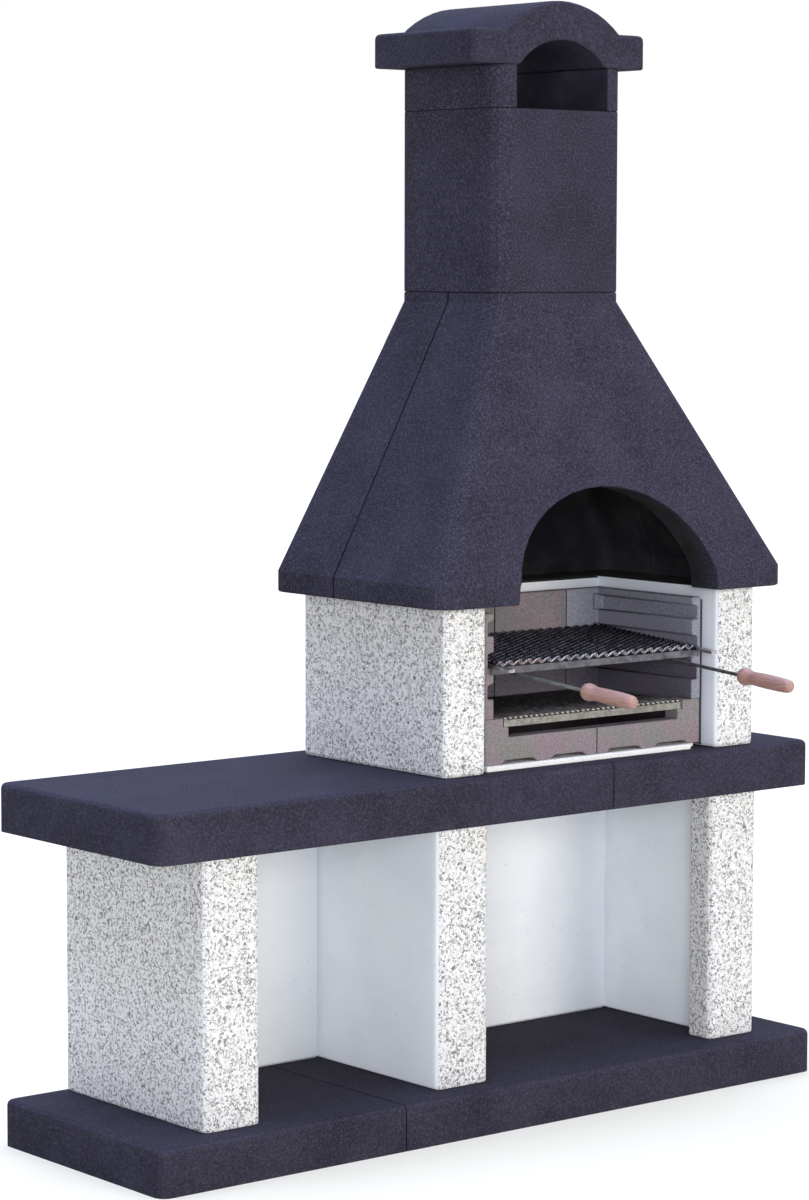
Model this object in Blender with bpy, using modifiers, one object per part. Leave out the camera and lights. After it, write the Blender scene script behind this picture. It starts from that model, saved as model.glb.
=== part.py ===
"""Garden barbecue of precast concrete with a side table, a cooking grill and a charcoal grate.

Metres, +Z up. X runs to the right along the front and Y from the front to the back.
The origin is on the ground, under the middle of the base.
"""

import math

import bmesh
import bpy
from mathutils import Matrix, Vector

# Clearances
JOINT = 0.0003  # open joint between two pieces that touch
OVERRUN = 0.012  # how far a cutter runs past what it cuts

# Base slabs
BASE_LENGTH = 1.831
BASE_DEPTH = 0.579
BASE_HEIGHT = 0.098
BASE_LEFT_LENGTH = 0.6265
SLAB_CORNER_RADIUS = 0.026
SLAB_EDGE_RADIUS = 0.012
SEAM_EDGE_RADIUS = 0.003

# Supports: a column in front and a thinner web behind it
SUPPORT_DEPTH = 0.499
SUPPORT_HEIGHT = 0.5635
COLUMN_WIDTH = 0.143
COLUMN_DEPTH = 0.073
COLUMN_RADIUS = 0.018
BLOCK_EDGE_RADIUS = 0.005
WEB_THICKNESS = 0.085
PANEL_THICKNESS = 0.086
BASE_FRONT_MARGIN = 0.0585
BASE_LEFT_MARGIN = 0.1495
SIDE_BAY_PITCH = 0.6105
FIREBOX_SPAN = 0.943

# Worktop slabs
WORKTOP_LENGTH = 1.826
WORKTOP_DEPTH = 0.589
WORKTOP_THICKNESS = 0.103
WORKTOP_LEFT_LENGTH = 1.2175
WORKTOP_LEFT_OVERHANG = 0.1325
WORKTOP_FRONT_OVERHANG = 0.0285

# Firebox walls
WALLS_WIDTH = 0.912
WALL_THICKNESS = 0.116
WALL_DEPTH = 0.488
WALL_HEIGHT = 0.364
WALL_SETBACK = 0.0275
WALL_RADIUS = 0.014
WALL_EDGE_RADIUS = 0.008
BACK_WALL_THICKNESS = 0.093

# Firebrick lining
HEARTH_THICKNESS = 0.012
HEARTH_LEAD = 0.009
HEARTH_NOTCH_DEPTH = 0.030
BRICK_THICKNESS = 0.026
BRICK_EDGE_RADIUS = 0.002
LINING_SIDE_GAP = 0.0215
LINING_BACK_GAP = 0.020
LINING_SETBACK = 0.033
LINING_DROP = 0.023
CORNER_LEG = 0.096
BACK_SEAM_X = -0.020

# Ledge grooves in the lining that carry the cooking grill at three heights
GROOVE_COUNT = 3
GROOVE_PITCH = 0.068
LOWEST_LEDGE = 0.1435
GRILL_LEDGE_NUMBER = 1
GROOVE_DEPTH = 0.0165
GROOVE_BACK_HEIGHT = 0.030
GROOVE_MOUTH_HEIGHT = 0.034

# Front firebricks
POST_WIDTH = 0.0515
POST_HEIGHT = 0.100
SHELF_WIDTH = 0.015
SHELF_HEIGHT = 0.0805
LOW_WALL_HEIGHT = 0.058
FRONT_BRICK_DEPTH = 0.042
FRONT_BRICK_END_GAP = 0.002
FOOT_ARCH_RISE = 0.008
FOOT_SHARES = (0.11, 0.41, 0.56, 0.83)
REAR_LEDGE_DEPTH = 0.020

# Hood
HOOD_WIDTH = 1.013
HOOD_DEPTH = 0.600
HOOD_FRONT_OVERHANG = 0.0505
HOOD_RIM_HEIGHT = 0.046
HOOD_SLOPE_HEIGHT = 0.591
HOOD_NECK_HEIGHT = 0.022
HOOD_CORNER_RADIUS = 0.050
HOOD_SIDE_WALL = 0.065
HOOD_FRONT_WALL = 0.090
HOOD_SEAM_SETBACK = 0.369
HOOD_EDGE_RADIUS = 0.004
ARCH_HALF_WIDTH = 0.292
ARCH_HEIGHT = 0.238

# Chimney
CHIMNEY_WIDTH = 0.374
CHIMNEY_DEPTH = 0.348
CHIMNEY_BACK_SETBACK = 0.0505
CHIMNEY_RADIUS = 0.045
CHIMNEY_EDGE_RADIUS = 0.003
FLUE_WALL = 0.063
CHEEK_WALL = 0.055
FLUE_HEIGHT = 0.398
OUTLET_HEIGHT = 0.094

# Chimney cap
CAP_WIDTH = 0.504
CAP_DEPTH = 0.365
CAP_FRONT_OVERHANG = 0.002
CAP_THICKNESS = 0.075
CAP_BOW_WIDTH = 0.338
CAP_BOW_RISE = 0.0665
CAP_ARCH_WIDTH = 0.249
CAP_ARCH_RISE = 0.057
CAP_CORNER_RADIUS = 0.030
CAP_EDGE_RADIUS = 0.011
CAP_UNDER_EDGE_RADIUS = 0.003

# Cooking grill
GRILL_TILT = math.radians(4.1)
RUNNER_WIDTH = 0.0165
RUNNER_HEIGHT = 0.007
RUNNER_LEAD = 0.065
RUNNER_GROOVE_CLEARANCE = 0.0025
GRILL_LEAD = 0.009
GRILL_DEPTH = 0.318
CROSS_BAR_THICKNESS = 0.003
CROSS_BAR_HEIGHT = 0.015
WELD = 0.0012  # how far welded bars run into each other
MESH_SIDE_CLEARANCE = 0.004
MESH_WAVES = 24
MESH_ROWS = 6
MESH_WIRE = 0.0034
MESH_CRIMP = 0.0090

# Handles of the cooking grill
HANDLE_INSET = 0.0605
ROD_RADIUS = 0.004
ROD_REAR_INSET = 0.012
GRIP_REACH = 0.221
GRIP_LENGTH = 0.158
GRIP_RADIUS = 0.0190
GRIP_BORE_CLEARANCE = 0.0003
# The turned outline from the rod end, as shares of the radius and of the length
GRIP_OUTLINE_SHARES = (
    (0.49, 0.000),
    (0.84, 0.026),
    (0.98, 0.075),
    (1.00, 0.105),
    (0.94, 0.150),
    (0.82, 0.215),
    (0.79, 0.270),
    (0.83, 0.430),
    (0.85, 0.620),
    (0.83, 0.800),
    (0.78, 0.905),
    (0.66, 0.960),
    (0.40, 0.990),
)
ROD_TANG = 0.070
ROD_TANG_GAP = 0.003

# Charcoal grate
GRATE_BAR = 0.005
GRATE_PITCH = 0.015
GRATE_SIDE_CLEARANCE = 0.004
GRATE_BACK_CLEARANCE = 0.007
STRIP_HEIGHT = 0.015
STRIP_THICKNESS = 0.002
STRIP_FLANGE = 0.016
STRIP_SETBACK = 0.003
GRATE_CROSS_BAR = 0.008
GRATE_CROSS_INSET_SHARE = 0.35

# How finely round shapes are cut
CORNER_STEPS = 4
EDGE_STEPS = 3
ARRIS_STEPS = 2
ARC_STEPS = 14
ARCH_SIDES = 40
FOOT_STEPS = 4
GRIP_STEPS = 16
SHARP_ANGLE = math.radians(38)

# Places worked out from the sizes
BASE_LEFT = -BASE_LENGTH / 2
BASE_FRONT = -BASE_DEPTH / 2
SUPPORT_FRONT = BASE_FRONT + BASE_FRONT_MARGIN
SUPPORT_BACK = SUPPORT_FRONT + SUPPORT_DEPTH
SIDE_SUPPORT_X = BASE_LEFT + BASE_LEFT_MARGIN
MIDDLE_SUPPORT_X = SIDE_SUPPORT_X + SIDE_BAY_PITCH
RIGHT_SUPPORT_X = MIDDLE_SUPPORT_X + FIREBOX_SPAN
FIREBOX_X = (MIDDLE_SUPPORT_X + RIGHT_SUPPORT_X) / 2
WORKTOP_LEFT = SIDE_SUPPORT_X - WORKTOP_LEFT_OVERHANG
WORKTOP_FRONT = SUPPORT_FRONT - WORKTOP_FRONT_OVERHANG
WORKTOP_BOTTOM = BASE_HEIGHT + SUPPORT_HEIGHT
WORKTOP_TOP = WORKTOP_BOTTOM + WORKTOP_THICKNESS
WALL_FRONT = WORKTOP_FRONT + WALL_SETBACK
WALL_BACK = WALL_FRONT + WALL_DEPTH
WALL_TOP = WORKTOP_TOP + WALL_HEIGHT
WALL_INNER = WALLS_WIDTH / 2 - WALL_THICKNESS
BACK_WALL_FACE = WALL_BACK - BACK_WALL_THICKNESS
LINING_OUTER = WALL_INNER - LINING_SIDE_GAP
LINING_INNER = LINING_OUTER - BRICK_THICKNESS
LINING_FRONT = WALL_FRONT + LINING_SETBACK
LINING_BACK = BACK_WALL_FACE - LINING_BACK_GAP
LINING_BACK_FACE = LINING_BACK - BRICK_THICKNESS
HEARTH_TOP = WORKTOP_TOP + HEARTH_THICKNESS
LINING_TOP = WALL_TOP - LINING_DROP
SHELF_TOP = HEARTH_TOP + SHELF_HEIGHT
GRILL_LEDGE = HEARTH_TOP + LOWEST_LEDGE + GRILL_LEDGE_NUMBER * GROOVE_PITCH
HOOD_FRONT = WALL_FRONT - HOOD_FRONT_OVERHANG
HOOD_BACK = HOOD_FRONT + HOOD_DEPTH
HOOD_SEAM = HOOD_FRONT + HOOD_SEAM_SETBACK
HOOD_RIM_TOP = WALL_TOP + HOOD_RIM_HEIGHT
HOOD_NECK_BOTTOM = HOOD_RIM_TOP + HOOD_SLOPE_HEIGHT
HOOD_TOP = HOOD_NECK_BOTTOM + HOOD_NECK_HEIGHT
CHIMNEY_BACK = HOOD_BACK - CHIMNEY_BACK_SETBACK
CHIMNEY_FRONT = CHIMNEY_BACK - CHIMNEY_DEPTH
FLUE_TOP = HOOD_TOP + FLUE_HEIGHT
OUTLET_TOP = FLUE_TOP + OUTLET_HEIGHT
CAP_FRONT = CHIMNEY_FRONT - CAP_FRONT_OVERHANG
RUNNER_OUTER = LINING_INNER + GROOVE_DEPTH - RUNNER_GROOVE_CLEARANCE
RUNNER_INNER = RUNNER_OUTER - RUNNER_WIDTH
CROSS_BAR_TOP = JOINT + WELD
CROSS_BAR_BOTTOM = CROSS_BAR_TOP - CROSS_BAR_HEIGHT
ROD_CENTRE = CROSS_BAR_BOTTOM - JOINT - ROD_RADIUS
HANDLE_X = RUNNER_INNER - HANDLE_INSET

PARTS = bpy.data.collections.new("garden_barbecue")
CUTTERS = bpy.data.collections.new("cutters")


def clear_scene():
    """Removes what the scene held."""
    for old in list(bpy.data.objects):
        bpy.data.objects.remove(old, do_unlink=True)
    for collection in (PARTS, CUTTERS):
        bpy.context.scene.collection.children.link(collection)


def make_material(name, colour, roughness, metallic=0.0):
    """A Principled material of one colour."""
    material = bpy.data.materials.new(name)
    material.use_nodes = True
    shader = material.node_tree.nodes["Principled BSDF"]
    shader.inputs["Base Color"].default_value = (*colour, 1.0)
    shader.inputs["Roughness"].default_value = roughness
    shader.inputs["Metallic"].default_value = metallic
    material.diffuse_color = (*colour, 1.0)
    return material


def add_object(name, mesh, material):
    """A piece of the barbecue."""
    piece = bpy.data.objects.new(name, mesh)
    PARTS.objects.link(piece)
    mesh.materials.clear()
    mesh.materials.append(material)
    return piece


def finish_mesh(name, bm):
    """A mesh from bm, with its faces turned outwards."""
    bmesh.ops.recalc_face_normals(bm, faces=bm.faces)
    mesh = bpy.data.meshes.new(name)
    bm.to_mesh(mesh)
    bm.free()
    return mesh


def box_bmesh(low, high):
    """A box between two corners."""
    low, high = Vector(low), Vector(high)
    bm = bmesh.new()
    bmesh.ops.create_cube(bm, size=1.0)
    bmesh.ops.scale(bm, vec=high - low, verts=bm.verts)
    bmesh.ops.translate(bm, vec=(low + high) / 2, verts=bm.verts)
    return bm


def box_mesh(name, low, high):
    return finish_mesh(name, box_bmesh(low, high))


def is_upright(edge):
    first, second = (vert.co for vert in edge.verts)
    return (first.xy - second.xy).length < JOINT


def bevel(bm, edges, radius, steps):
    bmesh.ops.bevel(
        bm,
        geom=edges,
        offset=radius,
        offset_type="OFFSET",
        segments=steps,
        profile=0.5,
        affect="EDGES",
    )


def slab(name, low, high, material, seam_x):
    """A slab with rounded corners and a rounded top edge, and a plain face at seam_x."""
    bm = box_bmesh(low, high)
    bm.edges.ensure_lookup_table()
    outer = [e for e in bm.edges if is_upright(e) and abs(e.verts[0].co.x - seam_x) > JOINT]
    bevel(bm, outer, SLAB_CORNER_RADIUS, CORNER_STEPS)
    top = [
        e
        for e in bm.edges
        if all(abs(v.co.z - high[2]) < JOINT for v in e.verts)
        and not all(abs(v.co.x - seam_x) < JOINT for v in e.verts)
    ]
    bevel(bm, top, SLAB_EDGE_RADIUS, EDGE_STEPS)
    seam = [
        e
        for e in bm.edges
        if all(abs(v.co.x - seam_x) < JOINT for v in e.verts)
        and not all(abs(v.co.z - low[2]) < JOINT for v in e.verts)
    ]
    bevel(bm, seam, SEAM_EDGE_RADIUS, ARRIS_STEPS)
    return smooth(add_object(name, finish_mesh(name, bm), material))


def fillet(corners, steps=CORNER_STEPS):
    """The outline through corners, each given as (u, v, radius), with round ones cut in steps."""
    outline = []
    for number, (u, v, radius) in enumerate(corners):
        corner = Vector((u, v))
        if radius == 0:
            outline.append(corner)
            continue
        before = (Vector(corners[number - 1][:2]) - corner).normalized()
        after = (Vector(corners[(number + 1) % len(corners)][:2]) - corner).normalized()
        half_angle = before.angle(after) / 2
        centre = corner + (before + after).normalized() * radius / math.sin(half_angle)
        start = corner + before * radius / math.tan(half_angle) - centre
        sweep = start.angle_signed(corner + after * radius / math.tan(half_angle) - centre)
        for step in range(steps + 1):
            outline.append(centre + Matrix.Rotation(-sweep * step / steps, 2) @ start)
    return outline


def arc(start, end, rise, steps):
    """Points on a circular arc from start to end whose middle stands rise to the left of the chord."""
    start, end = Vector(start), Vector(end)
    chord = end - start
    half = chord.length / 2
    radius = (half * half + rise * rise) / (2 * rise)
    left = Vector((-chord.y, chord.x)).normalized()
    centre = (start + end) / 2 + left * (rise - radius)
    half_angle = math.asin(half / abs(radius))
    back = -chord.normalized() * abs(radius)
    points = []
    for step in range(steps + 1):
        turn = half_angle * (1 - 2 * step / steps)
        points.append(centre + left * radius * math.cos(turn) + back * math.sin(turn))
    return points


AXIS_FRAMES = {
    "X": Matrix(((0, 0, 1), (1, 0, 0), (0, 1, 0))).to_4x4(),
    "Y": Matrix(((1, 0, 0), (0, 0, -1), (0, 1, 0))).to_4x4(),
    "Z": Matrix.Identity(4),
}


def plate_mesh(name, outlines, axis, start, end):
    """A flat shape, cut from 2D outlines and extruded along an axis from start to end.

    An outline's points are (x, y) across Z, (x, z) across Y and (y, z) across X.
    """
    curve = bpy.data.curves.new(name, "CURVE")
    curve.dimensions = "2D"
    curve.fill_mode = "BOTH"
    curve.extrude = abs(end - start) / 2
    for outline in outlines:
        spline = curve.splines.new("POLY")
        spline.points.add(len(outline) - 1)
        for point, (u, v) in zip(spline.points, outline):
            point.co = (u, v, 0, 1)
        spline.use_cyclic_u = True
    middle = (start + end) / 2
    offset = {"X": (middle, 0, 0), "Y": (0, middle, 0), "Z": (0, 0, middle)}[axis]
    holder = bpy.data.objects.new(name, curve)
    PARTS.objects.link(holder)
    holder.matrix_world = Matrix.Translation(offset) @ AXIS_FRAMES[axis]
    bpy.context.view_layer.update()
    mesh = bpy.data.meshes.new_from_object(holder.evaluated_get(bpy.context.evaluated_depsgraph_get()))
    bm = bmesh.new()
    bm.from_mesh(mesh)
    bmesh.ops.transform(bm, matrix=holder.matrix_world, verts=bm.verts)
    bmesh.ops.remove_doubles(bm, verts=bm.verts, dist=JOINT / 10)
    bmesh.ops.dissolve_limit(bm, angle_limit=math.radians(0.05), verts=bm.verts, edges=bm.edges)
    bpy.data.objects.remove(holder, do_unlink=True)
    bpy.data.meshes.remove(mesh)
    return finish_mesh(name, bm)


def plate(name, outlines, axis, start, end, material):
    return add_object(name, plate_mesh(name, outlines, axis, start, end), material)


def rounded_rectangle(left, right, front, back, radius):
    """The plan of a block with four round corners."""
    corners = ((left, front), (right, front), (right, back), (left, back))
    return fillet([(x, y, radius) for x, y in corners])


def loft_mesh(name, rings):
    """A closed body through rings of equally many points, each given as (outline, height)."""
    bm = bmesh.new()
    loops = [[bm.verts.new((x, y, height)) for x, y in outline] for outline, height in rings]
    for below, above in zip(loops, loops[1:]):
        for number in range(len(below)):
            after = (number + 1) % len(below)
            bm.faces.new((below[number], below[after], above[after], above[number]))
    bm.faces.new(loops[0])
    bm.faces.new(loops[-1])
    return finish_mesh(name, bm)


def add_cutter(name, mesh):
    """A helper that cuts other pieces and isn't itself one."""
    cutter = bpy.data.objects.new(name, mesh)
    CUTTERS.objects.link(cutter)
    cutter.hide_render = True
    cutter.display_type = "WIRE"
    return cutter


def combine(piece, other, operation):
    modifier = piece.modifiers.new(f"{operation.lower()} {other.name}", "BOOLEAN")
    modifier.operation = operation
    modifier.solver = "EXACT"
    modifier.object = other


def smooth(piece):
    """Shades a round piece smooth, with its real edges left sharp."""
    piece.data.shade_smooth()
    piece.data.set_sharp_from_angle(angle=SHARP_ANGLE)
    return piece


def soften(piece, radius, steps=ARRIS_STEPS):
    """Rounds the arrises that a cast or cut block has, after its cuts."""
    arris = piece.modifiers.new("arris", "BEVEL")
    arris.limit_method = "ANGLE"
    arris.angle_limit = SHARP_ANGLE
    arris.width = radius
    arris.segments = steps
    return smooth(piece)


def add_base(material):
    front, back = BASE_FRONT, BASE_FRONT + BASE_DEPTH
    seam = BASE_LEFT + BASE_LEFT_LENGTH
    right = BASE_LEFT + BASE_LENGTH
    slab("base_slab_left", (BASE_LEFT, front, 0), (seam - JOINT, back, BASE_HEIGHT), material, seam - JOINT)
    slab("base_slab_right", (seam, front, 0), (right, back, BASE_HEIGHT), material, seam)


def support_outline(face_x, inward):
    """The plan of a support whose flat side is at face_x and whose column stands out inward (+1 or -1)."""
    column_back = SUPPORT_FRONT + COLUMN_DEPTH
    return fillet(
        [
            (face_x, SUPPORT_FRONT, COLUMN_RADIUS),
            (face_x + inward * COLUMN_WIDTH, SUPPORT_FRONT, COLUMN_RADIUS),
            (face_x + inward * COLUMN_WIDTH, column_back, COLUMN_RADIUS / 2),
            (face_x + inward * WEB_THICKNESS, column_back, 0),
            (face_x + inward * WEB_THICKNESS, SUPPORT_BACK, 0),
            (face_x, SUPPORT_BACK, 0),
        ]
    )


def add_supports(aggregate, paint):
    bottom = BASE_HEIGHT + JOINT
    top = WORKTOP_BOTTOM - JOINT
    places = (
        ("support_left", SIDE_SUPPORT_X, 1),
        ("support_middle", MIDDLE_SUPPORT_X, 1),
        ("support_right", RIGHT_SUPPORT_X, -1),
    )
    for name, face_x, inward in places:
        support = plate(name, [support_outline(face_x, inward)], "Z", bottom, top, aggregate)
        soften(support, BLOCK_EDGE_RADIUS)
    panels = (
        ("back_panel_left", SIDE_SUPPORT_X + WEB_THICKNESS, MIDDLE_SUPPORT_X),
        ("back_panel_right", MIDDLE_SUPPORT_X + WEB_THICKNESS, RIGHT_SUPPORT_X - WEB_THICKNESS),
    )
    for name, left, right in panels:
        low = (left + JOINT, SUPPORT_BACK - PANEL_THICKNESS, bottom)
        high = (right - JOINT, SUPPORT_BACK, top)
        soften(add_object(name, box_mesh(name, low, high), paint), BLOCK_EDGE_RADIUS, 1)


def add_worktop(material):
    back = WORKTOP_FRONT + WORKTOP_DEPTH
    seam = WORKTOP_LEFT + WORKTOP_LEFT_LENGTH
    right = WORKTOP_LEFT + WORKTOP_LENGTH
    low_z, high_z = WORKTOP_BOTTOM, WORKTOP_TOP
    left_seam = seam - JOINT
    slab("worktop_left", (WORKTOP_LEFT, WORKTOP_FRONT, low_z), (left_seam, back, high_z), material, left_seam)
    slab("worktop_right", (seam, WORKTOP_FRONT, low_z), (right, back, high_z), material, seam)


def add_firebox_walls(aggregate, paint):
    bottom, top = WORKTOP_TOP + JOINT, WALL_TOP - JOINT
    for name, side in (("firebox_wall_left", -1), ("firebox_wall_right", 1)):
        inner, outer = FIREBOX_X + side * WALL_INNER, FIREBOX_X + side * WALLS_WIDTH / 2
        outline = fillet(
            [
                (inner, WALL_FRONT, WALL_RADIUS),
                (outer, WALL_FRONT, WALL_RADIUS),
                (outer, WALL_BACK, 0),
                (inner, WALL_BACK, 0),
            ]
        )
        soften(plate(name, [outline], "Z", bottom, top, aggregate), WALL_EDGE_RADIUS)
    low = (FIREBOX_X - WALL_INNER + JOINT, BACK_WALL_FACE, bottom)
    high = (FIREBOX_X + WALL_INNER - JOINT, WALL_BACK, top)
    wall = add_object("firebox_wall_back", box_mesh("firebox_wall_back", low, high), paint)
    soften(wall, BLOCK_EDGE_RADIUS, 1)


def add_hearth(material):
    """The plate under the lining, with its front corners notched."""
    left, right = FIREBOX_X - LINING_OUTER, FIREBOX_X + LINING_OUTER
    lip_left, lip_right = FIREBOX_X - LINING_INNER, FIREBOX_X + LINING_INNER
    front = LINING_FRONT - HEARTH_LEAD
    notch = front + HEARTH_NOTCH_DEPTH
    outline = [
        (lip_left, front),
        (lip_right, front),
        (lip_right, notch),
        (right, notch),
        (right, LINING_BACK),
        (left, LINING_BACK),
        (left, notch),
        (lip_left, notch),
    ]
    plate("hearth_plate", [outline], "Z", WORKTOP_TOP + JOINT, HEARTH_TOP, material)


def groove_cutter(side, number):
    """Cuts one ledge groove: flat below, with a sloping top that lets the brick leave its mould."""
    ledge = HEARTH_TOP + LOWEST_LEDGE + number * GROOVE_PITCH
    slope = (GROOVE_MOUTH_HEIGHT - GROOVE_BACK_HEIGHT) / GROOVE_DEPTH
    face = FIREBOX_X + side * LINING_INNER
    outline = [
        (face - side * OVERRUN, ledge),
        (face + side * GROOVE_DEPTH, ledge),
        (face + side * GROOVE_DEPTH, ledge + GROOVE_BACK_HEIGHT),
        (face - side * OVERRUN, ledge + GROOVE_MOUTH_HEIGHT + OVERRUN * slope),
    ]
    name = f"groove_{'left' if side < 0 else 'right'}_{number}"
    return add_cutter(name, plate_mesh(name, [outline], "Y", LINING_FRONT - OVERRUN, LINING_BACK_FACE))


def add_lining_corner(name, side, material):
    """One L-shaped firebrick: a side wall with ledge grooves and a short leg of the back wall."""
    inner, outer = FIREBOX_X + side * LINING_INNER, FIREBOX_X + side * LINING_OUTER
    leg = inner - side * (CORNER_LEG - JOINT / 2)
    outline = [
        Vector(point)
        for point in (
            (inner, LINING_FRONT),
            (outer, LINING_FRONT),
            (outer, LINING_BACK),
            (leg, LINING_BACK),
            (leg, LINING_BACK_FACE),
            (inner, LINING_BACK_FACE),
        )
    ]
    brick = plate(name, [outline], "Z", HEARTH_TOP + JOINT, LINING_TOP, material)
    across = sorted((inner - side * OVERRUN, outer + side * OVERRUN))
    low = (across[0], LINING_FRONT - OVERRUN, HEARTH_TOP - OVERRUN)
    high = (across[1], LINING_FRONT + FRONT_BRICK_DEPTH + JOINT, HEARTH_TOP + POST_HEIGHT + JOINT)
    combine(brick, add_cutter(f"{name}_rebate", box_mesh(f"{name}_rebate", low, high)), "DIFFERENCE")
    for number in range(GROOVE_COUNT):
        combine(brick, groove_cutter(side, number), "DIFFERENCE")
    soften(brick, BRICK_EDGE_RADIUS, 1)


def add_lining_back(name, left, right, material):
    """A back firebrick, with a ledge at its foot for the charcoal grate."""
    outline = [
        (LINING_BACK, HEARTH_TOP + JOINT),
        (LINING_BACK, LINING_TOP),
        (LINING_BACK_FACE, LINING_TOP),
        (LINING_BACK_FACE, SHELF_TOP),
        (LINING_BACK_FACE - REAR_LEDGE_DEPTH, SHELF_TOP),
        (LINING_BACK_FACE - REAR_LEDGE_DEPTH, HEARTH_TOP + JOINT),
    ]
    soften(plate(name, [outline], "X", left, right, material), BRICK_EDGE_RADIUS, 1)


def add_front_brick(name, side, material):
    """A front firebrick: end post, step for the charcoal grate, low wall, and feet with ash gaps between."""
    length = LINING_OUTER - FRONT_BRICK_END_GAP
    bottom = HEARTH_TOP + JOINT
    post = length - POST_WIDTH
    shelf = post - SHELF_WIDTH

    def at(distance):
        return FIREBOX_X + side * distance

    upper = [
        (at(length), HEARTH_TOP + POST_HEIGHT),
        (at(post), HEARTH_TOP + POST_HEIGHT),
        (at(post), SHELF_TOP),
        (at(shelf), SHELF_TOP),
        (at(shelf), HEARTH_TOP + LOW_WALL_HEIGHT),
        (at(JOINT / 2), HEARTH_TOP + LOW_WALL_HEIGHT),
    ]
    feet = [length * share for share in FOOT_SHARES]
    first = arc((at(feet[0]), bottom), (at(feet[1]), bottom), side * FOOT_ARCH_RISE, FOOT_STEPS)
    second = arc((at(feet[2]), bottom), (at(feet[3]), bottom), side * FOOT_ARCH_RISE, FOOT_STEPS)
    lower = [(at(JOINT / 2), bottom), *first, *second, (at(length), bottom)]
    brick = plate(name, [upper + lower], "Y", LINING_FRONT, LINING_FRONT + FRONT_BRICK_DEPTH, material)
    soften(brick, BRICK_EDGE_RADIUS, 1)


def add_lining(material):
    leg = LINING_INNER - CORNER_LEG - JOINT / 2
    seam = FIREBOX_X + BACK_SEAM_X
    for name, side in (("left", -1), ("right", 1)):
        add_lining_corner(f"lining_corner_{name}", side, material)
        add_front_brick(f"front_brick_{name}", side, material)
    add_lining_back("lining_back_left", FIREBOX_X - leg, seam - JOINT / 2, material)
    add_lining_back("lining_back_right", seam + JOINT / 2, FIREBOX_X + leg, material)


def hood_rings(rim, neck, rim_radius, neck_radius, bottom, top):
    """The loft rings of the hood's outer or inner shape, from the plans of its rim and of its neck."""
    rim_plan = rounded_rectangle(*rim, rim_radius)
    neck_plan = rounded_rectangle(*neck, neck_radius)
    return [
        (rim_plan, bottom),
        (rim_plan, HOOD_RIM_TOP),
        (neck_plan, HOOD_NECK_BOTTOM),
        (neck_plan, top),
    ]


def hood_half(name, half_box, cavity, material):
    half = HOOD_WIDTH / 2
    rim = (FIREBOX_X - half, FIREBOX_X + half, HOOD_FRONT, HOOD_BACK)
    across = CHIMNEY_WIDTH / 2
    neck = (FIREBOX_X - across, FIREBOX_X + across, CHIMNEY_FRONT, CHIMNEY_BACK)
    rings = hood_rings(rim, neck, HOOD_CORNER_RADIUS, CHIMNEY_RADIUS, WALL_TOP, HOOD_TOP - JOINT)
    hood = add_object(name, loft_mesh(name, rings), material)
    combine(hood, cavity, "DIFFERENCE")
    combine(hood, half_box, "INTERSECT")
    return hood


def add_hood(material):
    """The hood in two halves, hollow from the rim to the flue, with an arch cut in the front."""
    half = HOOD_WIDTH / 2 - HOOD_SIDE_WALL
    rim = (FIREBOX_X - half, FIREBOX_X + half, HOOD_FRONT + HOOD_FRONT_WALL, HOOD_BACK - HOOD_SIDE_WALL)
    across = CHIMNEY_WIDTH / 2 - FLUE_WALL
    neck = (FIREBOX_X - across, FIREBOX_X + across, CHIMNEY_FRONT + FLUE_WALL, CHIMNEY_BACK - FLUE_WALL)
    inner_radius = HOOD_CORNER_RADIUS / 2
    rings = hood_rings(rim, neck, inner_radius, inner_radius, WALL_TOP - OVERRUN, HOOD_TOP + OVERRUN)
    cavity = add_cutter("hood_cavity", loft_mesh("hood_cavity", rings))
    reach = HOOD_WIDTH / 2 + OVERRUN
    low_z, high_z = WALL_TOP - OVERRUN, HOOD_TOP + OVERRUN
    boxes = {
        "hood_front": (HOOD_FRONT - OVERRUN, HOOD_SEAM - JOINT / 2),
        "hood_back": (HOOD_SEAM + JOINT / 2, HOOD_BACK + OVERRUN),
    }
    halves = {}
    for name, (front, back) in boxes.items():
        low, high = (FIREBOX_X - reach, front, low_z), (FIREBOX_X + reach, back, high_z)
        half_box = add_cutter(f"{name}_half", box_mesh(f"{name}_half", low, high))
        halves[name] = hood_half(name, half_box, cavity, material)
    bm = bmesh.new()
    bmesh.ops.create_cone(bm, cap_ends=True, segments=ARCH_SIDES, radius1=1.0, radius2=1.0, depth=1.0)
    bmesh.ops.rotate(bm, matrix=Matrix.Rotation(math.radians(90), 3, "X"), verts=bm.verts)
    front, back = HOOD_FRONT - OVERRUN, (HOOD_FRONT + HOOD_SEAM) / 2
    bmesh.ops.scale(bm, vec=(ARCH_HALF_WIDTH, back - front, ARCH_HEIGHT), verts=bm.verts)
    bmesh.ops.translate(bm, vec=(FIREBOX_X, (front + back) / 2, WALL_TOP), verts=bm.verts)
    combine(halves["hood_front"], add_cutter("hood_arch", finish_mesh("hood_arch", bm)), "DIFFERENCE")
    for half_hood in halves.values():
        soften(half_hood, HOOD_EDGE_RADIUS)


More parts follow.
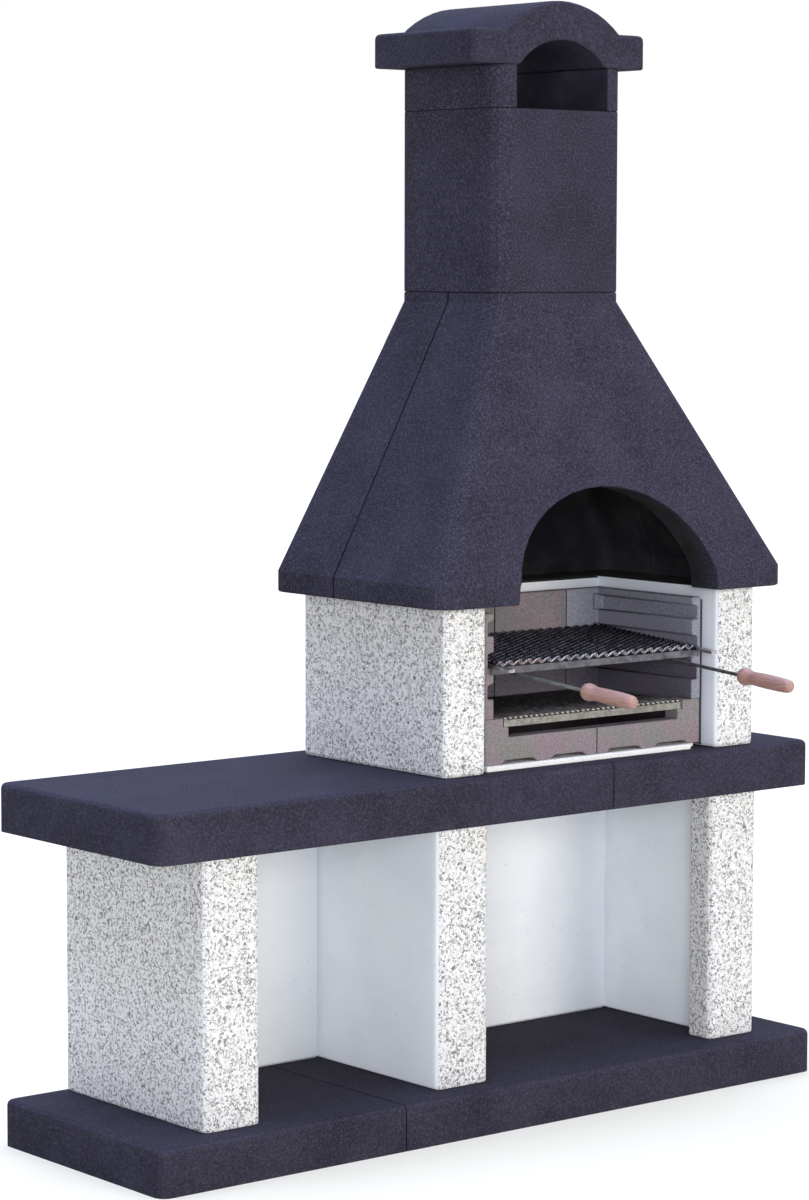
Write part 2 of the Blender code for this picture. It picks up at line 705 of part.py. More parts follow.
def add_chimney(material):
    """The flue block, and two cheeks on it that leave the smoke outlet open in front and behind."""
    half, front, back = CHIMNEY_WIDTH / 2, CHIMNEY_FRONT, CHIMNEY_BACK
    outer = rounded_rectangle(FIREBOX_X - half, FIREBOX_X + half, front, back, CHIMNEY_RADIUS)
    inner_half = half - FLUE_WALL
    hole = rounded_rectangle(
        FIREBOX_X - inner_half, FIREBOX_X + inner_half, front + FLUE_WALL, back - FLUE_WALL, HOOD_CORNER_RADIUS / 2
    )
    block = plate("flue_block", [outer, hole], "Z", HOOD_TOP, FLUE_TOP - JOINT, material)
    soften(block, CHIMNEY_EDGE_RADIUS)
    for name, side in (("outlet_cheek_left", -1), ("outlet_cheek_right", 1)):
        outer_x, inner_x = FIREBOX_X + side * half, FIREBOX_X + side * (half - CHEEK_WALL)
        outline = fillet(
            [
                (outer_x, front, CHIMNEY_RADIUS),
                (outer_x, back, CHIMNEY_RADIUS),
                (inner_x, back, 0),
                (inner_x, front, 0),
            ]
        )
        soften(plate(name, [outline], "Z", FLUE_TOP, OUTLET_TOP - JOINT, material), CHIMNEY_EDGE_RADIUS)


def add_cap(material):
    """The cap: a slab bowed upwards in the middle, with an arch under the bow from front to back."""
    half, top = CAP_WIDTH / 2, OUTLET_TOP + CAP_THICKNESS
    bow_half, arch_half = CAP_BOW_WIDTH / 2, CAP_ARCH_WIDTH / 2
    bow = arc((FIREBOX_X + bow_half, top), (FIREBOX_X - bow_half, top), -CAP_BOW_RISE, ARC_STEPS)
    start, end = Vector((FIREBOX_X - arch_half, OUTLET_TOP)), Vector((FIREBOX_X + arch_half, OUTLET_TOP))
    vault = arc(start, end, CAP_ARCH_RISE, ARC_STEPS)
    right = [(FIREBOX_X + half, OUTLET_TOP), (FIREBOX_X + half, top)]
    left = [(FIREBOX_X - half, top), (FIREBOX_X - half, OUTLET_TOP)]
    back = CAP_FRONT + CAP_DEPTH
    mesh = plate_mesh("chimney_cap", [right + bow + left + vault], "Y", CAP_FRONT, back)
    cap = add_object("chimney_cap", mesh, material)
    plan = rounded_rectangle(FIREBOX_X - half, FIREBOX_X + half, CAP_FRONT, back, CAP_CORNER_RADIUS)
    low_z, high_z = OUTLET_TOP - OVERRUN, top + CAP_BOW_RISE + OVERRUN
    combine(cap, add_cutter("cap_plan", plate_mesh("cap_plan", [plan], "Z", low_z, high_z)), "INTERSECT")
    bpy.context.view_layer.update()
    graph = bpy.context.evaluated_depsgraph_get()
    bm = bmesh.new()
    bm.from_mesh(bpy.data.meshes.new_from_object(cap.evaluated_get(graph)))
    bmesh.ops.remove_doubles(bm, verts=bm.verts, dist=JOINT / 10)
    bmesh.ops.dissolve_limit(bm, angle_limit=math.radians(0.05), verts=bm.verts, edges=bm.edges)

    def on_upper_rim(edge):
        lower, upper = sorted(face.normal.z for face in edge.link_faces)
        return abs(lower) < 0.1 < upper

    bevel(bm, [e for e in bm.edges if on_upper_rim(e)], CAP_EDGE_RADIUS, EDGE_STEPS)
    cap.modifiers.clear()
    cap.data = finish_mesh("chimney_cap", bm)
    cap.data.materials.append(material)
    soften(cap, CAP_UNDER_EDGE_RADIUS, 1)


def add_empty(name, location, tilt=0.0):
    empty = bpy.data.objects.new(name, None)
    PARTS.objects.link(empty)
    empty.location = location
    empty.rotation_euler.x = tilt
    return empty


def grill_mesh(material):
    """The crimped wire mesh: wires front to back that lie high and low in turn, joined by zigzag cross wires."""
    columns = 2 * MESH_WAVES
    bm = bmesh.new()
    bmesh.ops.create_grid(bm, x_segments=columns, y_segments=MESH_ROWS, size=0.5)
    width = 2 * (LINING_INNER - MESH_SIDE_CLEARANCE)
    depth = GRILL_DEPTH - MESH_WIRE
    bmesh.ops.scale(bm, vec=(width, depth, 1.0), verts=bm.verts)
    middle = CROSS_BAR_TOP + JOINT + (MESH_CRIMP + MESH_WIRE) / 2
    bmesh.ops.translate(bm, vec=(0, GRILL_DEPTH / 2 - GRILL_LEAD, middle), verts=bm.verts)
    for vert in bm.verts:
        column = round((vert.co.x / width + 0.5) * columns)
        vert.co.z += MESH_CRIMP / 2 * (-1) ** column
    net = add_object("grill_mesh", finish_mesh("grill_mesh", bm), material)
    wires = net.modifiers.new("wires", "WIREFRAME")
    wires.thickness = MESH_WIRE
    wires.use_even_offset = False
    wires.use_boundary = True
    wires.use_replace = True
    return net


def grill_frame(material):
    """Two flat side runners that lie in the grooves and stick out in front, with an upright bar across each end."""
    back = GRILL_DEPTH - GRILL_LEAD
    frame = None
    for side in (-1, 1):
        across = sorted((side * RUNNER_INNER, side * RUNNER_OUTER))
        low, high = (across[0], -RUNNER_LEAD, JOINT), (across[1], back, RUNNER_HEIGHT)
        if frame is None:
            frame = add_object("grill_frame", box_mesh("grill_frame", low, high), material)
        else:
            combine(frame, add_cutter("grill_runner_right", box_mesh("grill_runner_right", low, high)), "UNION")
    reach = RUNNER_OUTER
    for name, start in (("grill_bar_front", -GRILL_LEAD), ("grill_bar_back", back - CROSS_BAR_THICKNESS - JOINT)):
        low = (-reach, start, CROSS_BAR_BOTTOM)
        high = (reach, start + CROSS_BAR_THICKNESS, CROSS_BAR_TOP)
        combine(frame, add_cutter(name, box_mesh(name, low, high)), "UNION")
    return frame


def handle_rod(name, x, material):
    """A straight rod under the frame, from near its rear bar to inside the grip."""
    curve = bpy.data.curves.new(name, "CURVE")
    curve.dimensions = "3D"
    curve.bevel_depth = ROD_RADIUS
    curve.bevel_resolution = 2
    curve.use_fill_caps = True
    spline = curve.splines.new("POLY")
    spline.points.add(1)
    ends = (GRILL_DEPTH - GRILL_LEAD - ROD_REAR_INSET, -GRIP_REACH - ROD_TANG)
    for point, y in zip(spline.points, ends):
        point.co = (x, y, ROD_CENTRE, 1)
    rod = bpy.data.objects.new(name, curve)
    PARTS.objects.link(rod)
    curve.materials.append(material)
    return rod


def grip(name, x, material):
    """A turned wooden grip: bulb, neck, body and round end, with a blind bore for the rod."""
    bore = ROD_RADIUS + GRIP_BORE_CLEARANCE
    outline = [(GRIP_RADIUS * out, GRIP_LENGTH * along) for out, along in GRIP_OUTLINE_SHARES]
    profile = [(0, ROD_TANG + ROD_TANG_GAP), (bore, ROD_TANG + ROD_TANG_GAP), (bore, 0), *outline, (0, GRIP_LENGTH)]
    bm = bmesh.new()
    verts = [bm.verts.new((radius, -along, 0)) for radius, along in profile]
    for first, second in zip(verts, verts[1:]):
        bm.edges.new((first, second))
    mesh = bpy.data.meshes.new(name)
    bm.to_mesh(mesh)
    bm.free()
    handle = add_object(name, mesh, material)
    handle.location = (x, -GRIP_REACH, ROD_CENTRE)
    turn = handle.modifiers.new("turn", "SCREW")
    turn.axis = "Y"
    turn.steps = GRIP_STEPS
    turn.render_steps = GRIP_STEPS
    turn.use_merge_vertices = True
    turn.merge_threshold = JOINT / 10
    turn.use_smooth_shade = True
    return handle


def add_cooking_grill(wire, steel, beech):
    """The grill lies a little nose-down, its runners on the front ends of two ledges."""
    pose = add_empty("cooking_grill_slide", (FIREBOX_X, LINING_FRONT, GRILL_LEDGE), GRILL_TILT)
    pieces = [grill_mesh(wire), grill_frame(wire)]
    for name, side in (("left", -1), ("right", 1)):
        pieces.append(handle_rod(f"handle_rod_{name}", side * HANDLE_X, steel))
        pieces.append(grip(f"grip_{name}", side * HANDLE_X, beech))
    for piece in pieces:
        piece.parent = pose
    for cutter in CUTTERS.objects:
        if cutter.name.startswith("grill_"):
            cutter.parent = pose


def add_charcoal_grate(wire, strip):
    """Bars front to back on two cross bars, and the angle strip that closes them in front."""
    half = LINING_OUTER - FRONT_BRICK_END_GAP - POST_WIDTH - GRATE_SIDE_CLEARANCE
    pose = add_empty("charcoal_grate_slide", (FIREBOX_X, LINING_FRONT, SHELF_TOP))
    count = 2 * math.floor((half - GRATE_BAR) / GRATE_PITCH) + 1
    low_z = STRIP_HEIGHT + JOINT
    back = LINING_BACK_FACE - LINING_FRONT - GRATE_BACK_CLEARANCE
    grate = None
    for number in range(count):
        x = (number - (count - 1) / 2) * GRATE_PITCH
        low = (x - GRATE_BAR / 2, STRIP_SETBACK, low_z)
        high = (x + GRATE_BAR / 2, back, low_z + GRATE_BAR)
        if grate is None:
            grate = add_object("charcoal_grate", box_mesh("charcoal_grate", low, high), wire)
            continue
        name = f"grate_bar_{number}"
        combine(grate, add_cutter(name, box_mesh(name, low, high)), "UNION")
    inset = back * GRATE_CROSS_INSET_SHARE
    for name, rear in (("grate_cross_back", back - JOINT), ("grate_cross_front", inset)):
        low = (-half, rear - GRATE_CROSS_BAR, JOINT)
        high = (half, rear, low_z + GRATE_BAR / 2)
        combine(grate, add_cutter(name, box_mesh(name, low, high)), "UNION")
    outline = [
        (STRIP_SETBACK, JOINT),
        (STRIP_SETBACK, STRIP_HEIGHT),
        (STRIP_SETBACK + STRIP_FLANGE, STRIP_HEIGHT),
        (STRIP_SETBACK + STRIP_FLANGE, STRIP_HEIGHT - STRIP_THICKNESS),
        (STRIP_SETBACK + STRIP_THICKNESS, STRIP_HEIGHT - STRIP_THICKNESS),
        (STRIP_SETBACK + STRIP_THICKNESS, JOINT),
    ]
    front = plate("grate_front_strip", [outline], "X", -half, half, strip)
    grate.parent = front.parent = pose
    for cutter in CUTTERS.objects:
        if cutter.name.startswith("grate_"):
            cutter.parent = pose


def main():
    clear_scene()
    anthracite = make_material("anthracite_concrete", (0.050, 0.050, 0.072), 0.85)
    aggregate = make_material("washed_aggregate", (0.70, 0.67, 0.60), 0.80)
    paint = make_material("white_masonry_paint", (0.82, 0.86, 0.90), 0.60)
    firebrick = make_material("firebrick", (0.36, 0.30, 0.31), 0.90)
    refractory = make_material("cream_refractory", (0.78, 0.72, 0.62), 0.85)
    wire = make_material("zinc_plated_wire", (0.55, 0.55, 0.58), 0.35, 0.9)
    dark_wire = make_material("sooted_steel", (0.03, 0.03, 0.035), 0.60, 0.6)
    galvanised = make_material("galvanised_strip", (0.62, 0.61, 0.58), 0.45, 0.8)
    beech = make_material("beech", (0.72, 0.42, 0.33), 0.45)
    add_base(anthracite)
    add_supports(aggregate, paint)
    add_worktop(anthracite)
    add_firebox_walls(aggregate, paint)
    add_hearth(refractory)
    add_lining(firebrick)
    add_hood(anthracite)
    add_chimney(anthracite)
    add_cap(anthracite)
    add_cooking_grill(wire, dark_wire, beech)
    add_charcoal_grate(dark_wire, galvanised)


main()
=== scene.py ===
"""Looks of a garden barbecue of precast concrete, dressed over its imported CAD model.

All places are in metres in the CAD frame: X to the right, Y to the back, Z up, with the origin on the ground.
"""

import logging
import math
from dataclasses import dataclass
from enum import Enum

import bmesh
import bpy
from mathutils import Matrix, Vector


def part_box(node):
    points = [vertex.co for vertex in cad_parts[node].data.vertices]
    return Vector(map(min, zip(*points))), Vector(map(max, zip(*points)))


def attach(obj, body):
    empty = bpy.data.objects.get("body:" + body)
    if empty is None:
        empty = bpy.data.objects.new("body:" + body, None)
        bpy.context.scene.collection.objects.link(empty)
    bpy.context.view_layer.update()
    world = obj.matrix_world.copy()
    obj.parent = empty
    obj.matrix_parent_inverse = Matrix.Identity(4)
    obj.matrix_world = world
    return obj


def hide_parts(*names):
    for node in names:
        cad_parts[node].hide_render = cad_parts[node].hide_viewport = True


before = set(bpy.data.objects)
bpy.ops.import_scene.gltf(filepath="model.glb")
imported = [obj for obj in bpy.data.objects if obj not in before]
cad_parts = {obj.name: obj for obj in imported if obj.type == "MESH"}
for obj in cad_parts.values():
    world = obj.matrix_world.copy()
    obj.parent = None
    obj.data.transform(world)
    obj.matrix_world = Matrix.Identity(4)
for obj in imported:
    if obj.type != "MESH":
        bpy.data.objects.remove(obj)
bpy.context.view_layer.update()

LOG = logging.getLogger("barbecue")

MM = 0.001
FAR = 9.0  # past every piece, in metres
AS_CAD = Matrix.Identity(4)

# Sockets of the Mix node: its factor, two numbers, two colours, and the mixed colour.
MIX_FACTOR, MIX_LOW, MIX_HIGH, MIX_FIRST, MIX_SECOND, MIX_RESULT = 0, 2, 3, 6, 7, 2

Colour = tuple[float, float, float, float]
Point = tuple[float, float, float]
Span = tuple[float, float]
Tree = bpy.types.NodeTree
Socket = bpy.types.NodeSocket
Pattern = tuple[Socket, Socket, Socket]
Geometry = bmesh.types.BMesh


class Slot(Enum):
    """Material slots, by their names."""

    CONCRETE = "anthracite_concrete"
    AGGREGATE = "washed_aggregate"
    PAINT = "white_masonry_paint"
    FIREBRICK = "firebrick"
    REFRACTORY = "cream_refractory"
    WIRE = "zinc_plated_wire"
    SOOTED = "sooted_steel"
    STRIP = "galvanised_strip"
    BEECH = "beech"


class Body(Enum):
    """Bodies of the CAD model that pieces ride on."""

    MASONRY = "masonry"
    GRILL = "cooking_grill"
    GRATE = "charcoal_grate"


class Way(Enum):
    """Directions that a face can look in."""

    LEFT = (-1.0, 0.0, 0.0)
    RIGHT = (1.0, 0.0, 0.0)
    FRONT = (0.0, -1.0, 0.0)
    UP = (0.0, 0.0, 1.0)


class Across(Enum):
    """Axes that a joint between two blocks is square to."""

    X = 0
    Y = 1
    Z = 2


def ends(node: str, across: Across) -> Span:
    """Return where a CAD node begins and ends across an axis."""
    low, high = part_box(node)
    return low[across.value], high[across.value]


def linear(code: str) -> Colour:
    """Turn an sRGB hex value into a linear colour.

    Args:
        code: six hex digits after a hash.

    Returns:
        Red, green, blue and an alpha of one.
    """
    shares = (int(code[start:start + 2], 16) / 255 for start in (1, 3, 5))
    return (*(s / 12.92 if s <= 0.04045 else ((s + 0.055) / 1.055) ** 2.4 for s in shares), 1.0)


def add_node(tree: Tree, kind: str, inputs: dict | None = None, out: int | str = 0,
             stops: tuple = (), **settings: object) -> Socket:
    """Add a node with its settings and links.

    Args:
        tree: the material's or world's node tree.
        kind: the node's type, without the words that all types begin with.
        inputs: a value, a hex colour or a socket to link, for each input by its name or number.
        out: the output that the caller wants.
        stops: places and hex colours of a colour ramp, from low to high.
        settings: the node's own properties.

    Returns:
        The wanted output socket. Its node gives the others.
    """
    node = tree.nodes.new("ShaderNode" + kind)
    for name, value in settings.items():
        setattr(node, name, value)
    for key, value in (inputs or {}).items():
        if isinstance(value, Socket):
            tree.links.new(value, node.inputs[key])
        else:
            node.inputs[key].default_value = linear(value) if isinstance(value, str) else value
    if stops:
        ramp = node.color_ramp
        ramp.elements.remove(ramp.elements[1])
        ramp.elements[0].position = stops[0][0]
        ramp.elements[0].color = linear(stops[0][1])
        for place, code in stops[1:]:
            ramp.elements.new(place).color = linear(code)
    return node.outputs[out] if node.outputs else node.inputs[0]


def empty_tree(owner: bpy.types.Material | bpy.types.World) -> Tree:
    """Give a material or a world an empty node tree.

    Args:
        owner: the material or world.

    Returns:
        Its node tree.
    """
    owner.use_nodes = True
    owner.node_tree.nodes.clear()
    return owner.node_tree


def largest_part(tree: Tree, vector: Socket) -> Socket:
    """Find the largest part of a vector, whatever its sign.

    Args:
        tree: the material's node tree.
        vector: the vector.

    Returns:
        The part's size.
    """
    sizes = add_node(tree, "VectorMath", {0: vector}, operation="ABSOLUTE")
    largest = parts = add_node(tree, "SeparateXYZ", {"Vector": sizes})
    for name in ("Y", "Z"):
        largest = add_node(tree, "Math", {0: largest, 1: parts.node.outputs[name]}, operation="MAXIMUM")
    return largest


@dataclass
class Layer:
    """What a finish leaves in a node tree for the shader to take: heights are in metres."""

    colour: Socket
    roughness: Socket
    height: Socket


@dataclass(frozen=True)
class Finish:
    """A surface as it was made. Its roughness runs from where its pattern is low to where it is high."""

    slot: Slot
    roughness: Span = (0.5, 0.5)
    metallic: float = 0.0
    specular: float = 0.5

    def pattern(self, tree: Tree, place: Socket) -> Pattern:
        """Build the finish's colour, the values that its roughness follows, and its height in metres."""
        raise NotImplementedError

    def layer(self, tree: Tree) -> Layer:
        """Build the finish in a tree.

        Args:
            tree: the material's node tree.

        Returns:
            Its colour, roughness and height.
        """
        place = add_node(tree, "TexCoord", out="Object")
        colour, values, height = self.pattern(tree, place)
        roughness = add_node(tree, "MapRange", {"Value": values, "To Min": self.roughness[0],
                                                "To Max": self.roughness[1]})
        return Layer(colour, roughness, height)

    def material(self) -> bpy.types.Material:
        """Make the finish's material.

        Returns:
            A material with one shader.
        """
        made = bpy.data.materials.new(self.slot.value)
        tree = empty_tree(made)
        layer = self.layer(tree)
        bump = add_node(tree, "Bump", {"Height": layer.height, "Distance": 1.0, "Strength": 1.0})
        shader = add_node(tree, "BsdfPrincipled", {
            "Base Color": layer.colour, "Roughness": layer.roughness, "Normal": bump,
            "Metallic": self.metallic, "Specular IOR Level": self.specular})
        add_node(tree, "OutputMaterial", {"Surface": shader})
        return made


@dataclass(frozen=True)
class AnthraciteConcrete(Finish):
    """Precast concrete coloured through with black oxide and cast in smooth moulds.

    The eye sees a blue-black body with faint clouds, light and dark sand, small air holes and paler arrises.
    """

    slot: Slot = Slot.CONCRETE
    roughness: Span = (0.62, 0.86)
    specular: float = 0.03
    dark: str = "#2F2C36"
    body: str = "#3C3945"
    cloud: float = 160 * MM
    # The mould leaves streaks that are long from top to bottom.
    streak: float = 14 * MM
    streak_shape: Point = (1.0, 1.0, 0.07)
    streak_share: float = 0.10
    # The sand is 0.5 to 1 mm; it is drawn at 4.5 mm so that it still shows from seven metres.
    grain: float = 4.5 * MM
    grain_relief: float = 0.16 * MM
    sand: str = "#5C5965"
    sandy: float = 0.32
    arris: str = "#4A4854"
    worn: float = 0.2
    pit: str = "#1C1A21"
    air_hole: float = 22 * MM
    hole_depth: float = 0.9 * MM
    holes_from: float = 0.60

    def pattern(self, tree: Tree, place: Socket) -> Pattern:
        """Build clouds and mould streaks, light and dark sand, worn arrises and air holes.

        Args:
            tree: the material's node tree.
            place: where a point lies.

        Returns:
            Colour, the clouds, and height.
        """
        cloud = add_node(tree, "TexNoise", {"Vector": place, "Scale": 1 / self.cloud, "Detail": 5.0,
                                            "Roughness": 0.62})
        drawn = add_node(tree, "Mapping", {"Vector": place, "Scale": self.streak_shape})
        streak = add_node(tree, "TexNoise", {"Vector": drawn, "Scale": 1 / self.streak, "Detail": 2.0})
        mottle = add_node(tree, "Math", {0: streak, 1: self.streak_share, 2: cloud}, operation="MULTIPLY_ADD")
        colour = add_node(tree, "ValToRGB", {"Fac": mottle}, stops=((0.34, self.dark), (0.72, self.body)))
        grain = add_node(tree, "TexNoise", {"Vector": place, "Scale": 1 / self.grain, "Detail": 1.0})
        light = add_node(tree, "MapRange", {"Value": grain, "From Min": 0.52, "From Max": 0.70,
                                            "To Max": self.sandy})
        dark = add_node(tree, "MapRange", {"Value": grain, "From Min": 0.47, "From Max": 0.30,
                                           "To Max": self.sandy})
        # The largest part of the normal is one on a slab's faces and less on its rounded arrises.
        facing = largest_part(tree, add_node(tree, "NewGeometry", out="Normal"))
        edge = add_node(tree, "MapRange", {"Value": facing, "From Min": 0.86, "From Max": 0.74,
                                           "To Max": self.worn})
        worn = add_node(tree, "Math", {0: edge, 1: cloud}, operation="MULTIPLY")
        # Air holes take the pit colour as painted shade in their hollows; the dark sand takes it as its own
        # colour.
        cells = add_node(tree, "TexVoronoi", {"Vector": place, "Scale": 1 / self.air_hole}, "Distance")
        hole = add_node(tree, "MapRange", {"Value": cells, "From Min": 0.09, "From Max": 0.04})
        chosen = add_node(tree, "Math", {0: cells.node.outputs["Color"], 1: self.holes_from},
                          operation="GREATER_THAN")
        hole = add_node(tree, "Math", {0: hole, 1: chosen}, operation="MULTIPLY")
        for share, coat in ((light, self.sand), (dark, self.pit), (worn, self.arris), (hole, self.pit)):
            colour = add_node(tree, "Mix", {MIX_FACTOR: share, MIX_FIRST: colour, MIX_SECOND: coat},
                              MIX_RESULT, data_type="RGBA")
        fine = add_node(tree, "Math", {0: grain, 1: self.grain_relief}, operation="MULTIPLY")
        height = add_node(tree, "Math", {0: hole, 1: -self.hole_depth, 2: fine}, operation="MULTIPLY_ADD")
        return colour, cloud, height


@dataclass(frozen=True)
class WashedAggregate(Finish):
    """Concrete whose face was washed before it set, so that its chips stand out of the cement.

    The eye sees rounded white and pale grey chips of 4 to 8 mm, hardly a dark one, and thin gaps between them
    whose cement is painted dark where it was washed out deeper, as painted shade in those recesses.
    """

    slot: Slot = Slot.AGGREGATE
    roughness: Span = (0.62, 0.90)
    specular: float = 0.35
    chip: float = 5 * MM
    relief: float = 0.9 * MM
    # The chips' outlines are bent by a part of a chip, and the cement's depth changes over a chip or two.
    bends: float = 1.4
    bend_share: float = 0.35
    washes: float = 0.7
    shallow: str = "#EEEAE4"
    deep: str = "#6E6965"
    chips: tuple = ((0.0, "#8A8480"), (0.02, "#C9C4BE"), (0.12, "#E9E5E0"), (0.34, "#F8F6F3"),
                    (0.62, "#FFFEFC"))

    def pattern(self, tree: Tree, place: Socket) -> Pattern:
        """Build chips in their colours, cement in the gaps, and the chips' relief.

        Args:
            tree: the material's node tree.
            place: where a point lies.

        Returns:
            Colour, the cement's share, and height.
        """
        wobble = add_node(tree, "TexNoise", {"Vector": place, "Scale": self.bends / self.chip, "Detail": 1.0},
                          "Color")
        shift = add_node(tree, "VectorMath", {0: wobble, "Scale": self.bend_share * self.chip},
                         operation="SCALE")
        bent = add_node(tree, "VectorMath", {0: place, 1: shift}, operation="ADD")
        cells = add_node(tree, "TexVoronoi", {"Vector": bent, "Scale": 1 / self.chip}, "Distance")
        pick = add_node(tree, "SeparateColor", {"Color": cells.node.outputs["Color"]})
        chip = add_node(tree, "ValToRGB", {"Fac": pick}, stops=self.chips)
        chip.node.color_ramp.interpolation = "CONSTANT"
        gap = add_node(tree, "TexVoronoi", {"Vector": bent, "Scale": 1 / self.chip}, "Distance",
                       feature="DISTANCE_TO_EDGE")
        cement = add_node(tree, "MapRange", {"Value": gap, "From Min": 0.15, "From Max": 0.05})
        washed = add_node(tree, "TexNoise", {"Vector": place, "Scale": self.washes / self.chip,
                                             "Detail": 1.0})
        # The deep cement colour is painted shade in the deeper recesses between chips; the shallow one is the
        # cement's own pale grey.
        bed = add_node(tree, "ValToRGB", {"Fac": washed}, stops=((0.47, self.shallow), (0.60, self.deep)))
        colour = add_node(tree, "Mix", {MIX_FACTOR: cement, MIX_FIRST: chip, MIX_SECOND: bed},
                          MIX_RESULT, data_type="RGBA")
        dome = add_node(tree, "MapRange", {"Value": gap, "From Max": 0.32, "To Max": self.relief},
                        interpolation_type="SMOOTHERSTEP")
        return colour, cement, dome


@dataclass(frozen=True)
class MasonryPaint(Finish):
    """White mineral paint rolled on cast concrete.

    The eye sees a matt, faintly blue white with the roller's soft stipple and a few unfilled pores.
    """

    slot: Slot = Slot.PAINT
    roughness: Span = (0.72, 0.88)
    specular: float = 0.3
    light: str = "#F9FBFC"
    dull: str = "#F3F6F8"
    shade: str = "#9AA1A8"
    patch: float = 120 * MM
    stipple: float = 4 * MM
    stipple_relief: float = 0.22 * MM
    pore: float = 26 * MM
    pore_depth: float = 0.8 * MM

    def pattern(self, tree: Tree, place: Socket) -> Pattern:
        """Build dusty patches, the roller's stipple and pores.

        Args:
            tree: the material's node tree.
            place: where a point lies.

        Returns:
            Colour, the stipple, and height.
        """
        patch = add_node(tree, "TexNoise", {"Vector": place, "Scale": 1 / self.patch, "Detail": 4.0})
        paint = add_node(tree, "ValToRGB", {"Fac": patch}, stops=((0.35, self.dull), (0.62, self.light)))
        stipple = add_node(tree, "TexNoise", {"Vector": place, "Scale": 1 / self.stipple, "Detail": 2.0})
        cells = add_node(tree, "TexVoronoi", {"Vector": place, "Scale": 1 / self.pore}, "Distance")
        pore = add_node(tree, "MapRange", {"Value": cells, "From Min": 0.08, "From Max": 0.03,
                                           "To Max": 0.5})
        colour = add_node(tree, "Mix", {MIX_FACTOR: pore, MIX_FIRST: paint, MIX_SECOND: self.shade},
                          MIX_RESULT, data_type="RGBA")
        fine = add_node(tree, "Math", {0: stipple, 1: self.stipple_relief}, operation="MULTIPLY")
        height = add_node(tree, "Math", {0: pore, 1: -self.pore_depth, 2: fine}, operation="MULTIPLY_ADD")
        return colour, stipple, height


@dataclass(frozen=True)
class Firebrick(Finish):
    """Pressed fireclay brick.

    The eye sees a pinkish grey clay that turns greenish in places, with paler and darker burnt grains.
    """

    slot: Slot = Slot.FIREBRICK
    roughness: Span = (0.80, 0.95)
    specular: float = 0.3
    pink: str = "#8B7A7E"
    grey: str = "#7F7E77"
    pale: str = "#A59A98"
    deep: str = "#5F5256"
    patch: float = 70 * MM
    grog: float = 3.5 * MM
    relief: float = 0.45 * MM

    def pattern(self, tree: Tree, place: Socket) -> Pattern:
        """Build the clay's two tones and its grains.

        Args:
            tree: the material's node tree.
            place: where a point lies.

        Returns:
            Colour, the grain, and height.
        """
        patch = add_node(tree, "TexNoise", {"Vector": place, "Scale": 1 / self.patch, "Detail": 2.0})
        colour = add_node(tree, "ValToRGB", {"Fac": patch}, stops=((0.40, self.pink), (0.66, self.grey)))
        grain = add_node(tree, "TexNoise", {"Vector": place, "Scale": 1 / self.grog, "Detail": 2.0})
        light = add_node(tree, "MapRange", {"Value": grain, "From Min": 0.55, "From Max": 0.72,
                                            "To Max": 0.8})
        dark = add_node(tree, "MapRange", {"Value": grain, "From Min": 0.45, "From Max": 0.30,
                                           "To Max": 0.7})
        for share, burnt in ((light, self.pale), (dark, self.deep)):
            colour = add_node(tree, "Mix", {MIX_FACTOR: share, MIX_FIRST: colour, MIX_SECOND: burnt},
                              MIX_RESULT, data_type="RGBA")
        height = add_node(tree, "Math", {0: grain, 1: self.relief}, operation="MULTIPLY")
        return colour, grain, height


@dataclass(frozen=True, kw_only=True)
class TwoToned(Finish):
    """A dull surface in two tones that run into each other, with a faint relief of the same pattern."""

    dark: str
    light: str
    patch: float
    detail: float
    blend: Span
    relief: float = 0.3 * MM

    def pattern(self, tree: Tree, place: Socket) -> Pattern:
        """Build the two tones and their relief.

        Args:
            tree: the material's node tree.
            place: where a point lies.

        Returns:
            Colour, the patches, and height.
        """
        patch = add_node(tree, "TexNoise", {"Vector": place, "Scale": 1 / self.patch, "Detail": self.detail})
        colour = add_node(tree, "ValToRGB", {"Fac": patch}, stops=tuple(
            zip(self.blend, (self.dark, self.light))))
        height = add_node(tree, "Math", {0: patch, 1: self.relief}, operation="MULTIPLY")
        return colour, patch, height


@dataclass(frozen=True)
class CreamRefractory(TwoToned):
    """Cast refractory plate.

    The eye sees a cream white with faint sandy grains.
    """

    slot: Slot = Slot.REFRACTORY
    roughness: Span = (0.75, 0.92)
    specular: float = 0.3
    dark: str = "#EDE8DE"
    light: str = "#FBF9F5"
    patch: float = 3 * MM
    detail: float = 3.0
    blend: Span = (0.36, 0.55)


@dataclass(frozen=True)
class PaintedShade(TwoToned):
    """Painted shade: a near-black put where shade falls, inside the hood and flue, in joints, gaps and under
    the grills.

    The eye sees a flat black with brown and grey breaths in it and no gloss.
    """

    slot: Slot = Slot.CONCRETE
    roughness: Span = (0.9, 1.0)
    specular: float = 0.1
    dark: str = "#2A292B"
    light: str = "#3B393A"
    patch: float = 90 * MM
    detail: float = 6.0
    blend: Span = (0.42, 0.70)


